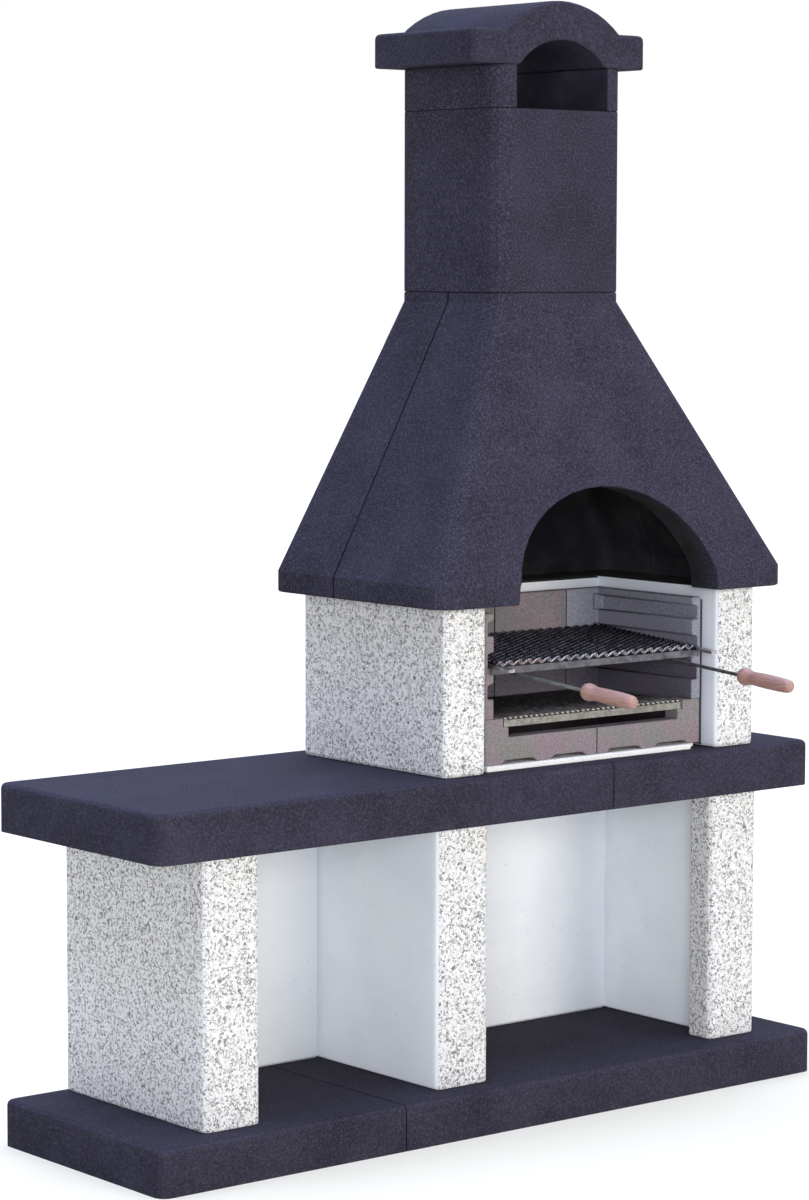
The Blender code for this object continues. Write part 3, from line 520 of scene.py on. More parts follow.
@dataclass(frozen=True)
class ZincedWire(Finish):
    """Drawn steel wire and flat bar, zinc plated and passivated.

    The eye sees a bright grey metal with dull patches and a brown tint where the fire has warmed it.
    """

    slot: Slot = Slot.WIRE
    roughness: Span = (0.50, 0.28)
    metallic: float = 1.0
    bright: str = "#C9CACD"
    dull: str = "#9A999B"
    tint: str = "#9B7F77"
    patch: float = 22 * MM
    tint_patches: float = 4.0
    relief: float = 0.05 * MM

    def pattern(self, tree: Tree, place: Socket) -> Pattern:
        """Build dull patches, a heat tint that is a few patches wide, and drawing marks.

        Args:
            tree: the material's node tree.
            place: where a point lies.

        Returns:
            Colour, the patches, and height.
        """
        patch = add_node(tree, "TexNoise", {"Vector": place, "Scale": 1 / self.patch, "Detail": 3.0})
        zinc = add_node(tree, "ValToRGB", {"Fac": patch}, stops=((0.38, self.dull), (0.62, self.bright)))
        warmth = add_node(tree, "TexNoise", {"Vector": place, "Scale": 1 / (self.tint_patches * self.patch),
                                             "Detail": 2.0})
        share = add_node(tree, "MapRange", {"Value": warmth, "From Min": 0.52, "From Max": 0.70,
                                            "To Max": 0.6})
        colour = add_node(tree, "Mix", {MIX_FACTOR: share, MIX_FIRST: zinc, MIX_SECOND: self.tint},
                          MIX_RESULT, data_type="RGBA")
        height = add_node(tree, "Math", {0: patch, 1: self.relief}, operation="MULTIPLY")
        return colour, patch, height


@dataclass(frozen=True)
class SootedSteel(ZincedWire):
    """Black steel bar that the coals have darkened.

    The eye sees a near-black, dull metal with grey and rusty breaths.
    """

    slot: Slot = Slot.SOOTED
    roughness: Span = (0.70, 0.45)
    metallic: float = 0.7
    bright: str = "#6C6A6A"
    dull: str = "#434244"
    tint: str = "#5C4D46"


@dataclass(frozen=True)
class GalvanisedStrip(Finish):
    """Hot-dip galvanised sheet bent to an angle.

    The eye sees a warm pale grey with the faint crystal flakes of the zinc bath.
    """

    slot: Slot = Slot.STRIP
    roughness: Span = (0.38, 0.52)
    metallic: float = 0.75
    light: str = "#938F88"
    dark: str = "#7A766F"
    flake: float = 9 * MM
    relief: float = 0.02 * MM

    def pattern(self, tree: Tree, place: Socket) -> Pattern:
        """Build zinc flakes in two tones.

        Args:
            tree: the material's node tree.
            place: where a point lies.

        Returns:
            Colour, the flakes' tone, and height.
        """
        flakes = add_node(tree, "TexVoronoi", {"Vector": place, "Scale": 1 / self.flake}, "Color")
        tone = add_node(tree, "SeparateColor", {"Color": flakes})
        colour = add_node(tree, "ValToRGB", {"Fac": tone}, stops=((0.1, self.dark), (0.9, self.light)))
        height = add_node(tree, "Math", {0: tone, 1: self.relief}, operation="MULTIPLY")
        return colour, tone, height


@dataclass(frozen=True)
class Beech(Finish):
    """Turned and waxed beech.

    The eye sees a salmon wood with long fine grain, short darker flecks and a soft wax gloss.
    """

    slot: Slot = Slot.BEECH
    roughness: Span = (0.36, 0.50)
    light: str = "#B38B7F"
    deep: str = "#A1776A"
    fleck: str = "#8E5B4A"
    # Rings and flecks are long in the direction of the grip, which is Y.
    ring: float = 3.2 * MM
    ring_shape: Point = (1.0, 0.08, 1.0)
    ring_relief: float = 0.06 * MM
    flecks: float = 1.6 * MM
    fleck_shape: Point = (1.0, 0.3, 1.0)

    def pattern(self, tree: Tree, place: Socket) -> Pattern:
        """Build growth rings along the grip and flecks between them.

        Args:
            tree: the material's node tree.
            place: where a point lies.

        Returns:
            Colour, the rings, and height.
        """
        drawn = add_node(tree, "Mapping", {"Vector": place, "Scale": self.ring_shape})
        rings = add_node(tree, "TexNoise", {"Vector": drawn, "Scale": 1 / self.ring, "Detail": 3.0})
        wood = add_node(tree, "ValToRGB", {"Fac": rings}, stops=((0.36, self.deep), (0.62, self.light)))
        dashes = add_node(tree, "Mapping", {"Vector": place, "Scale": self.fleck_shape})
        flecks = add_node(tree, "TexNoise", {"Vector": dashes, "Scale": 1 / self.flecks, "Detail": 1.0})
        share = add_node(tree, "MapRange", {"Value": flecks, "From Min": 0.60, "From Max": 0.72,
                                            "To Max": 0.3})
        colour = add_node(tree, "Mix", {MIX_FACTOR: share, MIX_FIRST: wood, MIX_SECOND: self.fleck},
                          MIX_RESULT, data_type="RGBA")
        height = add_node(tree, "Math", {0: rings, 1: self.ring_relief}, operation="MULTIPLY")
        return colour, rings, height


@dataclass(frozen=True)
class Where:
    """A part of a surface that a second finish covers."""

    def mask(self, tree: Tree) -> Socket:
        """Build the mask in a tree: one where the second finish lies."""
        raise NotImplementedError


@dataclass(frozen=True)
class Facing(Where):
    """The faces that look one way, from a certain depth on."""

    way: Way
    from_depth: float = -1.0
    turn: float = 0.6

    def mask(self, tree: Tree) -> Socket:
        """Build the mask.

        Args:
            tree: the material's node tree.

        Returns:
            One on the covered faces.
        """
        shape = add_node(tree, "NewGeometry", out="True Normal")
        facing = add_node(tree, "VectorMath", {0: shape, 1: self.way.value}, "Value", operation="DOT_PRODUCT")
        turned = add_node(tree, "Math", {0: facing, 1: self.turn}, operation="GREATER_THAN")
        place = add_node(tree, "TexCoord", out="Object")
        depth = add_node(tree, "SeparateXYZ", {"Vector": place}, "Y")
        behind = add_node(tree, "Math", {0: depth, 1: self.from_depth}, operation="GREATER_THAN")
        return add_node(tree, "Math", {0: turned, 1: behind}, operation="MULTIPLY")


@dataclass(frozen=True)
class Cavity(Where):
    """Faces that look at a flue's upright axis: painted shade from its mouth on, full from a depth on."""

    x: float
    y: float
    mouth: float
    black: float

    def mask(self, tree: Tree) -> Socket:
        """Build the mask.

        Args:
            tree: the material's node tree.

        Returns:
            One on the blackened faces, and less towards the mouth.
        """
        shape = add_node(tree, "NewGeometry", out="True Normal")
        place = add_node(tree, "TexCoord", out="Object")
        out = add_node(tree, "VectorMath", {0: place, 1: (self.x, self.y, 0.0)}, operation="SUBTRACT")
        level = add_node(tree, "VectorMath", {0: out, 1: (1.0, 1.0, 0.0)}, operation="MULTIPLY")
        away = add_node(tree, "VectorMath", {0: shape, 1: level}, "Value", operation="DOT_PRODUCT")
        inward = add_node(tree, "Math", {0: away, 1: 0.0}, operation="LESS_THAN")
        depth = add_node(tree, "SeparateXYZ", {"Vector": place}, "Y")
        deep = add_node(tree, "MapRange", {"Value": depth, "From Min": self.mouth, "From Max": self.black})
        return add_node(tree, "Math", {0: inward, 1: deep}, operation="MULTIPLY")


@dataclass(frozen=True)
class Region(Where):
    """What lies inside a box."""

    low: Point = (-FAR, -FAR, -FAR)
    high: Point = (FAR, FAR, FAR)

    def mask(self, tree: Tree) -> Socket:
        """Build the mask.

        Args:
            tree: the material's node tree.

        Returns:
            One inside the box.
        """
        place = add_node(tree, "TexCoord", out="Object")
        middle = tuple((low + high) / 2 for low, high in zip(self.low, self.high))
        half = tuple((high - low) / 2 for low, high in zip(self.low, self.high))
        out = add_node(tree, "VectorMath", {0: place, 1: middle}, operation="SUBTRACT")
        share = add_node(tree, "VectorMath", {0: out, 1: half}, operation="DIVIDE")
        return add_node(tree, "Math", {0: largest_part(tree, share), 1: 1.0}, operation="LESS_THAN")


@dataclass(frozen=True)
class Below(Where):
    """What lies below a level and behind a depth, with a soft upper edge."""

    level: float
    behind: float
    fade: float = 12 * MM

    def mask(self, tree: Tree) -> Socket:
        """Build the mask.

        Args:
            tree: the material's node tree.

        Returns:
            One well below the level.
        """
        parts = add_node(tree, "SeparateXYZ", {"Vector": add_node(tree, "TexCoord", out="Object")})
        low = add_node(tree, "MapRange", {"Value": parts.node.outputs["Z"], "From Min": self.level,
                                          "From Max": self.level - self.fade})
        rear = add_node(tree, "Math", {0: parts.node.outputs["Y"], 1: self.behind}, operation="GREATER_THAN")
        return add_node(tree, "Math", {0: low, 1: rear}, operation="MULTIPLY")


@dataclass(frozen=True)
class Joints(Where):
    """The joints between blocks, by the axis and the place of each."""

    places: tuple[tuple[Across, float], ...]
    half: float

    def mask(self, tree: Tree) -> Socket:
        """Build the mask.

        Args:
            tree: the material's node tree.

        Returns:
            One along each joint.
        """
        parts = add_node(tree, "SeparateXYZ", {"Vector": add_node(tree, "TexCoord", out="Object")})
        shaded = 0.0
        for across, place in self.places:
            line = add_node(tree, "Math", {0: parts.node.outputs[across.name], 1: place, 2: self.half},
                            operation="COMPARE")
            shaded = add_node(tree, "Math", {0: shaded, 1: line}, operation="MAXIMUM")
        return shaded


@dataclass(frozen=True)
class Covered(Finish):
    """One finish with another over part of it."""

    slot: Slot = Slot.AGGREGATE
    specular: float = 0.3
    ground: Finish = WashedAggregate()
    cover: Finish = MasonryPaint()
    where: Where = Facing(Way.RIGHT)

    def layer(self, tree: Tree) -> Layer:
        """Build both finishes, mixed by the mask.

        Args:
            tree: the material's node tree.

        Returns:
            The mixed layer.
        """
        low, high, mask = self.ground.layer(tree), self.cover.layer(tree), self.where.mask(tree)
        colour = add_node(tree, "Mix", {MIX_FACTOR: mask, MIX_FIRST: low.colour, MIX_SECOND: high.colour},
                          MIX_RESULT, data_type="RGBA")
        roughness = add_node(tree, "Mix", {MIX_FACTOR: mask, MIX_LOW: low.roughness,
                                           MIX_HIGH: high.roughness})
        height = add_node(tree, "Mix", {MIX_FACTOR: mask, MIX_LOW: low.height, MIX_HIGH: high.height})
        return Layer(colour, roughness, height)


def with_joints(ground: Finish, *places: tuple[Across, float], half: float = 1.5 * MM) -> Covered:
    """Draw the shaded joints between blocks into a finish.

    Args:
        ground: the blocks' finish.
        places: the axis and the place of each joint.
        half: half a joint's width.

    Returns:
        The finish with near-black painted shade along the joints.
    """
    # The joints' near-black is painted shade in the narrow gaps between blocks.
    return Covered(slot=ground.slot, specular=ground.specular, ground=ground,
                   cover=PaintedShade(dark="#1B191D", light="#2C292D"), where=Joints(places, half))


def dress(nodes: tuple[str, ...], finish: Finish) -> None:
    """Give CAD nodes a finish.

    Args:
        nodes: names of the CAD nodes.
        finish: what they are made of.
    """
    material = finish.material()
    for name in nodes:
        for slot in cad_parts[name].material_slots:
            slot.material = material
        LOG.info("%s dressed in %s", name, finish.slot.value)


def add_object(name: str, data: bpy.types.ID) -> bpy.types.Object:
    """Put a mesh, a light or a camera into the scene.

    Args:
        name: the object's name.
        data: the mesh, light or camera.

    Returns:
        The object.
    """
    made = bpy.data.objects.new(name, data)
    bpy.context.scene.collection.objects.link(made)
    return made


def to_mesh(name: str, bm: Geometry, material: bpy.types.Material) -> bpy.types.Mesh:
    """Turn built geometry into a mesh of one material.

    Args:
        name: the mesh's name.
        bm: its geometry, which is freed.
        material: what covers it.

    Returns:
        The mesh.
    """
    mesh = bpy.data.meshes.new(name)
    bm.to_mesh(mesh)
    bm.free()
    mesh.materials.append(material)
    return mesh


def add_piece(name: str, bm: Geometry, finish: Finish, body: Body, place: Matrix = AS_CAD,
              smooth: bool = True) -> bpy.types.Object:
    """Turn built geometry into a dressed piece that rides on a body.

    Args:
        name: the piece's name.
        bm: its geometry, which is freed.
        finish: what it is made of.
        body: the CAD body that it rides on.
        place: from the geometry's own frame to the CAD frame.
        smooth: whether the piece is round, and not a block with flat sides.

    Returns:
        The piece.
    """
    bmesh.ops.transform(bm, matrix=place, verts=bm.verts)
    bmesh.ops.recalc_face_normals(bm, faces=bm.faces)
    mesh = to_mesh(name, bm, finish.material())
    if smooth:
        mesh.shade_smooth()
    piece = add_object(name, mesh)
    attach(piece, body.value)
    LOG.info("%s built with %d faces", name, len(mesh.polygons))
    return piece


def join_rings(bm: Geometry, rings: list[list[bmesh.types.BMVert]]) -> None:
    """Join rings of corners to a round skin, closed at its first ring.

    Args:
        bm: geometry that gets the faces.
        rings: rings of as many corners each, one after another.
    """
    for first, second in zip(rings, rings[1:]):
        for side in range(len(first)):
            far = (side + 1) % len(first)
            bm.faces.new((first[side], first[far], second[far], second[side]))
    bm.faces.new(rings[0])


def sweep(bm: Geometry, path: list[Vector], across: Vector, radius: float, sides: int) -> None:
    """Add a round wire along a path that lies in one plane.

    Args:
        bm: geometry that gets the wire.
        path: the wire's centre line.
        across: direction square to the path's plane.
        radius: the wire's radius.
        sides: faces round the wire.
    """
    rings = []
    for number, centre in enumerate(path):
        before, after = path[max(number - 1, 0)], path[min(number + 1, len(path) - 1)]
        up = (after - before).normalized().cross(across)
        angles = (math.tau * side / sides for side in range(sides))
        rings.append([bm.verts.new(centre + radius * (math.cos(a) * across + math.sin(a) * up))
                      for a in angles])
    join_rings(bm, rings)
    bm.faces.new(rings[-1][::-1])


def round_arrises(bm: Geometry, edges: list[bmesh.types.BMEdge], width: float) -> None:
    """Take the arrises off a block, in two steps each."""
    bmesh.ops.bevel(bm, geom=edges, offset=width, segments=2, profile=0.5, affect="EDGES")


def cast_block(outline: list[Vector], depth: Vector, arris: float) -> Geometry:
    """Cast a block from a flat outline, with its arrises taken off.

    Args:
        outline: the outline's corners, in order.
        depth: the block's thickness, as a vector.
        arris: width of the rounded arrises.

    Returns:
        The block's geometry.
    """
    bm = bmesh.new()
    face = bm.faces.new([bm.verts.new(corner) for corner in outline])
    grown = bmesh.ops.extrude_face_region(bm, geom=[face], use_keep_orig=True)["geom"]
    bmesh.ops.translate(bm, vec=depth, verts=[part for part in grown if isinstance(part, bmesh.types.BMVert)])
    bmesh.ops.recalc_face_normals(bm, faces=bm.faces)
    round_arrises(bm, list(bm.edges), arris)
    return bm


@dataclass
class Masonry:
    """All the blocks that stand still: base, supports, worktop, firebox, hood and chimney."""

    # Where a support's column ends and its thinner, painted web begins.
    support_front: float = -0.231
    column_depth: float = 0.073
    # The gap between the lining and the firebox wall, as a slice of the wall's inner face that takes painted
    # shade.
    gap_front: float = -0.181
    gap_back: float = 1.0
    gap_reach: float = 2 * MM
    gap_drop: float = 8 * MM
    # The mortar beads, from the corner of the firebox wall that they close.
    bead_radius: float = 3.5 * MM
    bead_inset: float = 2.5 * MM
    bead_drop: float = 2.0 * MM
    bead_end: float = 9 * MM
    bead_stub: float = 8 * MM
    bead_sides: int = 12
    # The flues' upright axes, and the depths at which the painted shade inside begins and at which it is
    # full.
    hood_axis: tuple[float, float] = (0.316, 0.020)
    hood_mouth: float = -0.270
    hood_full_shade: float = -0.215
    flue_axis: tuple[float, float] = (0.316, 0.093)
    flue_mouth: float = -1.0
    flue_full_shade: float = -0.9
    # Half widths of the joints.
    hood_joint: float = 2.5 * MM
    flue_joint: float = 0.8 * MM

    def dress_slabs(self) -> None:
        """Dress the base, the worktop and the cap in anthracite concrete."""
        concrete = AnthraciteConcrete()
        for slab in ("base_slab", "worktop"):
            joint = (Across.X, ends(f"{slab}_left", Across.X)[1])
            dress((f"{slab}_left", f"{slab}_right"), with_joints(concrete, joint))
        dress(("chimney_cap",), concrete)

    def dress_supports(self) -> None:
        """Dress the supports and the bays' back panels."""
        web = self.support_front + self.column_depth
        sides = {"left": Facing(Way.RIGHT, web), "middle": Facing(Way.LEFT), "right": Facing(Way.LEFT, web)}
        for name, painted in sides.items():
            dress((f"support_{name}",), Covered(where=painted))
        dress(("back_panel_left", "back_panel_right"), MasonryPaint())

    def dress_firebox(self) -> None:
        """Dress the firebox walls: aggregate outside, paint inside, and painted shade on top under the hood
        and beside the lining.
        """
        lining_top = ends("lining_corner_left", Across.Z)[1]
        # The camera looks into the gap on the right, where light still falls, so its shade is paler.
        shades = {"left": PaintedShade(), "right": PaintedShade(dark="#5F626D", light="#757883")}
        for name, way in (("left", Way.RIGHT), ("right", Way.LEFT), ("back", Way.FRONT)):
            # The walls' tops under the hood take painted shade.
            wall = Covered(ground=Covered(where=Facing(way)), cover=PaintedShade(), where=Facing(Way.UP))
            if name in shades:
                inner = ends(f"firebox_wall_{name}", Across.X)[way is Way.RIGHT]
                gap = Region((inner - self.gap_reach, self.gap_front, 0.0),
                             (inner + self.gap_reach, self.gap_back, lining_top - self.gap_drop))
                wall = Covered(ground=wall, cover=shades[name], where=gap)
            dress((f"firebox_wall_{name}",), wall)

    def dress_hood(self) -> None:
        """Dress the hood and the chimney, with painted shade inside and along the joints between their
        blocks.
        """
        cast = AnthraciteConcrete(sandy=0.44, worn=0.0)
        halves = (Across.Y, ends("hood_front", Across.Y)[1])
        low, high = ((Across.Z, place) for place in ends("flue_block", Across.Z))
        hood = with_joints(with_joints(cast, halves, half=self.hood_joint), low, half=self.flue_joint)
        # Their insides are darkened to near-black as painted shade under the hood and in the flue.
        dress(("hood_front", "hood_back"), Covered(
            slot=cast.slot, specular=cast.specular, ground=hood, cover=PaintedShade(),
            where=Cavity(*self.hood_axis, self.hood_mouth, self.hood_full_shade)))
        flue = with_joints(cast, low, high, half=self.flue_joint)
        dress(("flue_block", "outlet_cheek_left", "outlet_cheek_right"), Covered(
            slot=cast.slot, specular=cast.specular, ground=flue, cover=PaintedShade(dark="#302E38", light="#3F3D48"),
            where=Cavity(*self.flue_axis, self.flue_mouth, self.flue_full_shade)))

    def lay_beads(self) -> None:
        """Lay mortar where rounded arrises open the joint under the hood: at the back and at its halves."""
        left = ends("firebox_wall_left", Across.X)[0] + self.bead_end
        right = ends("firebox_wall_right", Across.X)[1] - self.bead_end
        back, top = ends("firebox_wall_back", Across.Y)[1], ends("firebox_wall_back", Across.Z)[1]
        halves, above = ends("hood_front", Across.Y)[1], top + self.bead_drop
        beads = {
            "back": (left, right, back - self.bead_inset, top - self.bead_drop),
            "left": (left, left + self.bead_stub, halves, above),
            "right": (right - self.bead_stub, right, halves, above),
        }
        for name, (start, end, y, z) in beads.items():
            bm = bmesh.new()
            sweep(bm, [Vector((start, y, z)), Vector((end, y, z))], Vector((0, 1, 0)), self.bead_radius,
                  self.bead_sides)
            # The beads take the same near-black as the hood's inside, as painted shade under the hood.
            add_piece(f"mortar_bead_{name}", bm, PaintedShade(), Body.MASONRY)

    def build(self) -> None:
        """Dress every block and close the joint under the hood."""
        self.dress_slabs()
        self.dress_supports()
        self.dress_firebox()
        self.dress_hood()
        self.lay_beads()


@dataclass
class Lining:
    """The firebricks and the hearth plate that they stand on."""

    arris: float = 2 * MM
    notch_width: float = 35 * MM
    notch_depth: float = 30 * MM
    post_width: float = 51.5 * MM
    shelf_width: float = 15 * MM
    shelf_height: float = 80.5 * MM
    low_wall_height: float = 58 * MM
    seam_shift: float = 6.5 * MM
    seam_half: float = 0.15 * MM
    # Where each ash gap begins and ends, as shares of a front brick's length from the seam.
    ash_gaps: tuple[Span, ...] = ((0.092, 0.431), (0.547, 0.875))
    ash_gap_rise: float = 8.5 * MM
    ash_gap_ramp: float = 12 * MM
    # Painted shadow lies below the cooking grill and, darker, below the charcoal grate, each behind its
    # depth.
    grill_shade_front: float = -0.196
    grate_shade_front: float = -0.155
    grill_level: float = 0.992
    grate_level: float = 0.862

    def cast_hearth(self) -> None:
        """Cast the hearth plate: its lip stops short of the right end and runs to the left one."""
        low, high = (Vector(corner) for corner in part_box("hearth_plate"))
        lip, back_of_lip = high.x - self.notch_width, low.y + self.notch_depth
        outline = [Vector((x, y, low.z)) for x, y in (
            (low.x, low.y), (lip, low.y), (lip, back_of_lip), (high.x, back_of_lip), (high.x, high.y),
            (low.x, high.y))]
        block = cast_block(outline, Vector((0, 0, high.z - low.z)), self.arris)
        piece = add_piece("cast_hearth", block, CreamRefractory(), Body.MASONRY, smooth=False)
        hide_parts("hearth_plate")

    def press_front_bricks(self) -> None:
        """Press the front bricks: post, ledge for the grate, low wall, and ash gaps between the feet."""
        seam = ends("front_brick_left", Across.X)[1] + self.seam_shift
        hearth_top = ends("hearth_plate", Across.Z)[1]
        shelf_top, wall_top = hearth_top + self.shelf_height, hearth_top + self.low_wall_height
        for name, side in (("left", -1), ("right", 1)):
            low, high = (Vector(corner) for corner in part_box(f"front_brick_{name}"))
            end = low.x if side < 0 else high.x
            post = end - side * self.post_width
            shelf = post - side * self.shelf_width
            start = seam + side * self.seam_half
            corners = [(end, high.z), (post, high.z), (post, shelf_top), (shelf, shelf_top),
                       (shelf, wall_top), (start, wall_top), (start, low.z)]
            for first, last in self.ash_gaps:
                near = seam + side * first * (high.x - low.x)
                far = seam + side * last * (high.x - low.x)
                roof = low.z + self.ash_gap_rise
                corners += [(near, low.z), (near + side * self.ash_gap_ramp, roof),
                            (far - side * self.ash_gap_ramp, roof), (far, low.z)]
            corners.append((end, low.z))
            block = cast_block([Vector((x, low.y, z)) for x, z in corners], Vector((0, high.y - low.y, 0)),
                               self.arris)
            brick = with_joints(Firebrick(), (Across.X, seam))
            piece = add_piece(f"pressed_front_brick_{name}", block, brick, Body.MASONRY, smooth=False)
            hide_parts(f"front_brick_{name}")

    def in_painted_shade(self, clay: Finish, joints: tuple[tuple[Across, float], ...]) -> Covered:
        """Paint shade into a clay: the cooking grill's shadow below it, and a darker shade below the charcoal
        grate.

        Args:
            clay: the bricks' finish without the painted shade.
            joints: the axis and the place of each joint.

        Returns:
            The finish of the bricks in use, with their joints.
        """
        # A darker copy of the clay is the cooking grill's painted shadow; near-black below the charcoal grate
        # is painted shade.
        shaded_under_grill = Covered(slot=Slot.FIREBRICK, ground=clay, where=Below(self.grill_level, self.grill_shade_front),
                         cover=Firebrick(pink="#655C66", grey="#625F66", pale="#7D7880", deep="#4A444E"))
        shaded_under_grate = Covered(slot=Slot.FIREBRICK, ground=shaded_under_grill, cover=PaintedShade(dark="#3A3336", light="#4C4347"),
                       where=Below(self.grate_level, self.grate_shade_front))
        return with_joints(shaded_under_grate, *joints)

    def dress_walls(self) -> None:
        """Dress the upright bricks: the corner on the right is greyer and bluer, and the joints show."""
        joints = tuple((Across.X, place) for place in (*ends("lining_back_left", Across.X),
                                                       ends("lining_back_right", Across.X)[1]))
        legs = Facing(Way.FRONT, ends("lining_back_left", Across.Y)[0] - self.arris)
        back = Firebrick(pink="#8D7B80", grey="#7F807E", pale="#9D9295", deep="#5E575C")
        dress(("lining_back_left", "lining_back_right"), self.in_painted_shade(back, joints))
        clays = {
            "left": (Firebrick(), back),
            "right": (Firebrick(pink="#8A8792", grey="#83868C", pale="#A5A3A9", deep="#5F5C66"),
                      Firebrick(pink="#9A97A1", grey="#979BA1", pale="#B1B1B6", deep="#706E78")),
        }
        for side, (wall, leg) in clays.items():
            corner = Covered(slot=Slot.FIREBRICK, ground=wall, cover=leg, where=legs)
            dress((f"lining_corner_{side}",), self.in_painted_shade(corner, joints))

    def build(self) -> None:
        """Make the hearth and the front bricks, and dress the rest."""
        self.cast_hearth()
        self.press_front_bricks()
        self.dress_walls()


@dataclass
class CookingGrill:
    """The crimped wire mesh on its frame, with two rods and turned grips, lying a little nose-down."""

    origin: Point = (0.316, -0.199, 0.988)
    tilt: float = math.radians(4.1)
    # The mesh, in the grill's own frame.
    half_width: float = 0.2885
    front: float = -0.009
    depth: float = 0.318
    middle: float = 0.0080
    height: float = 0.0124
    tip_gap: float = 6 * MM
    wire: float = 0.0040
    waves: int = 21
    rows: int = 39
    # Rows at the front edge that stay light as painted light; behind them the wire is darkened as painted
    # shade.
    lit_front_rows: float = 1.6
    wire_sides: int = 6
    steps: int = 4
    # The grips, their rods' centre line and the bores that take the rods.
    grip_inset: float = 0.2295
    grip_reach: float = 0.221
    grip_length: float = 0.158
    grip_radius: float = 0.0190
    rod_centre: float = -0.0178
    bore: float = 0.0043
    bore_depth: float = 0.073
    grip_sides: int = 40
    # The grip's radius and the place along it, as shares of its greatest radius and its length.
    outline: tuple[Span, ...] = (
        (0.49, 0.0), (0.84, 0.026), (0.98, 0.075), (1.00, 0.105), (0.94, 0.150), (0.82, 0.215), (0.79, 0.270),
        (0.83, 0.430), (0.85, 0.620), (0.83, 0.800), (0.78, 0.905), (0.66, 0.960), (0.40, 0.990), (0.0, 1.0))

    def place(self) -> Matrix:
        """Return the matrix from the grill's own frame to the CAD frame."""
        return Matrix.Translation(self.origin) @ Matrix.Rotation(self.tilt, 4, "X")

    def build_mesh(self) -> None:
        """Weave the mesh: cross wires crimped high and low in turn, and long wires held between them."""
        bm = bmesh.new()
        columns = 2 * self.waves
        swing = (self.height - self.wire) / 2
        hold = swing - self.wire
        pitch = 2 * self.half_width / columns
        row_pitch = (self.depth - self.wire) / self.rows
        start = self.front + self.wire / 2
        for row in range(self.rows + 1):
            y = start + row * row_pitch
            path = []
            for step in range(columns * self.steps + 1):
                turn = step / self.steps
                path.append(Vector((turn * pitch - self.half_width, y,
                                    self.middle + swing * math.cos(math.pi * (turn + row)))))
            sweep(bm, path, Vector((0, 1, 0)), self.wire / 2, self.wire_sides)
        for column in range(columns + 1):
            x = column * pitch - self.half_width
            path = []
            for step in range(self.rows * self.steps // 2 + 1):
                turn = 2 * step / self.steps
                path.append(Vector((x, start + turn * row_pitch,
                                    self.middle + hold * math.cos(math.pi * (turn + column)))))
            sweep(bm, path, Vector((1, 0, 0)), self.wire / 2, self.wire_sides)
        # The dark copy of the zinc is painted shade and dark reflection inside the firebox; the light copy on
        # the front rows is painted light.
        in_painted_shade = ZincedWire(bright="#5B5A66", dull="#25242C", tint="#333236", patch=9 * MM,
                          roughness=(0.60, 0.32))
        edge = Region(high=(FAR, self.origin[1] + self.front + self.lit_front_rows * row_pitch, FAR))
        finish = Covered(slot=Slot.WIRE, metallic=1.0, ground=in_painted_shade, where=edge,
                         cover=ZincedWire(bright="#A3A3A9", dull="#7C7B81"))
        piece = add_piece("woven_mesh", bm, finish, Body.GRILL, self.place())
        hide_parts("grill_mesh")

    def smooth_outline(self, steps: int = 4) -> list[Span]:
        """Round the grip's outline with a smooth curve that passes through its points.

        Args:
            steps: points for each stretch of the outline.

        Returns:
            Radius and place along the grip, in metres.
        """
        points = [Vector(p) for p in self.outline]
        rounded = []
        for number in range(len(points) - 1):
            a, b = points[max(number - 1, 0)], points[number]
            c, d = points[number + 1], points[min(number + 2, len(points) - 1)]
            for step in range(steps):
                t = step / steps
                p = 0.5 * (2 * b + (c - a) * t + (2 * a - 5 * b + 4 * c - d) * t ** 2
                           + (3 * b - a - 3 * c + d) * t ** 3)
                rounded.append((min(p.x, 1.0) * self.grip_radius, p.y * self.grip_length))
        return rounded

    def build_grips(self) -> None:
        """Turn both grips on the lathe: bulb, neck, body, round end and a blind bore for the rod."""
        profile = [(self.bore, self.bore_depth), (self.bore, 0.0), *self.smooth_outline()]
        for name, side in (("left", -1), ("right", 1)):
            bm = bmesh.new()
            centre = Vector((side * self.grip_inset, -self.grip_reach, self.rod_centre))
            rings = []
            for radius, along in profile:
                turns = (math.tau * turn / self.grip_sides for turn in range(self.grip_sides))
                rings.append([bm.verts.new(centre + Vector((radius * math.cos(a), -along,
                                                            radius * math.sin(a)))) for a in turns])
            join_rings(bm, rings)
            tip = bm.verts.new(centre - Vector((0, self.grip_length, 0)))
            for turn in range(self.grip_sides):
                bm.faces.new((rings[-1][turn], rings[-1][(turn + 1) % self.grip_sides], tip))
            piece = add_piece(f"turned_grip_{name}", bm, Beech(), Body.GRILL, self.place())
            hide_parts(f"grip_{name}")

    def build(self) -> None:
        """Build the mesh and the grips, and dress the frame and the rods."""
        self.build_mesh()
        self.build_grips()
        # The frame is a darker copy of the zinc as painted shade inside the firebox, and its tips in front a
        # bright copy as painted light.
        tips = Region(high=(FAR, self.origin[1] + self.front - self.tip_gap, FAR))
        dress(("grill_frame",), Covered(
            slot=Slot.WIRE, metallic=1.0, ground=ZincedWire(bright="#7C7B80", dull="#57565B", tint="#6E676B"),
            cover=ZincedWire(bright="#D5D3D4"), where=tips))
        # The left rod is a lighter copy of the steel and the right one a darker copy: painted light and
        # shade.
        dress(("handle_rod_left",), SootedSteel(bright="#8A8C86", dull="#6B6D68", tint="#6E625A"))
        dress(("handle_rod_right",), SootedSteel(bright="#6A6C68", dull="#4B4D4B", tint="#4E4A48"))


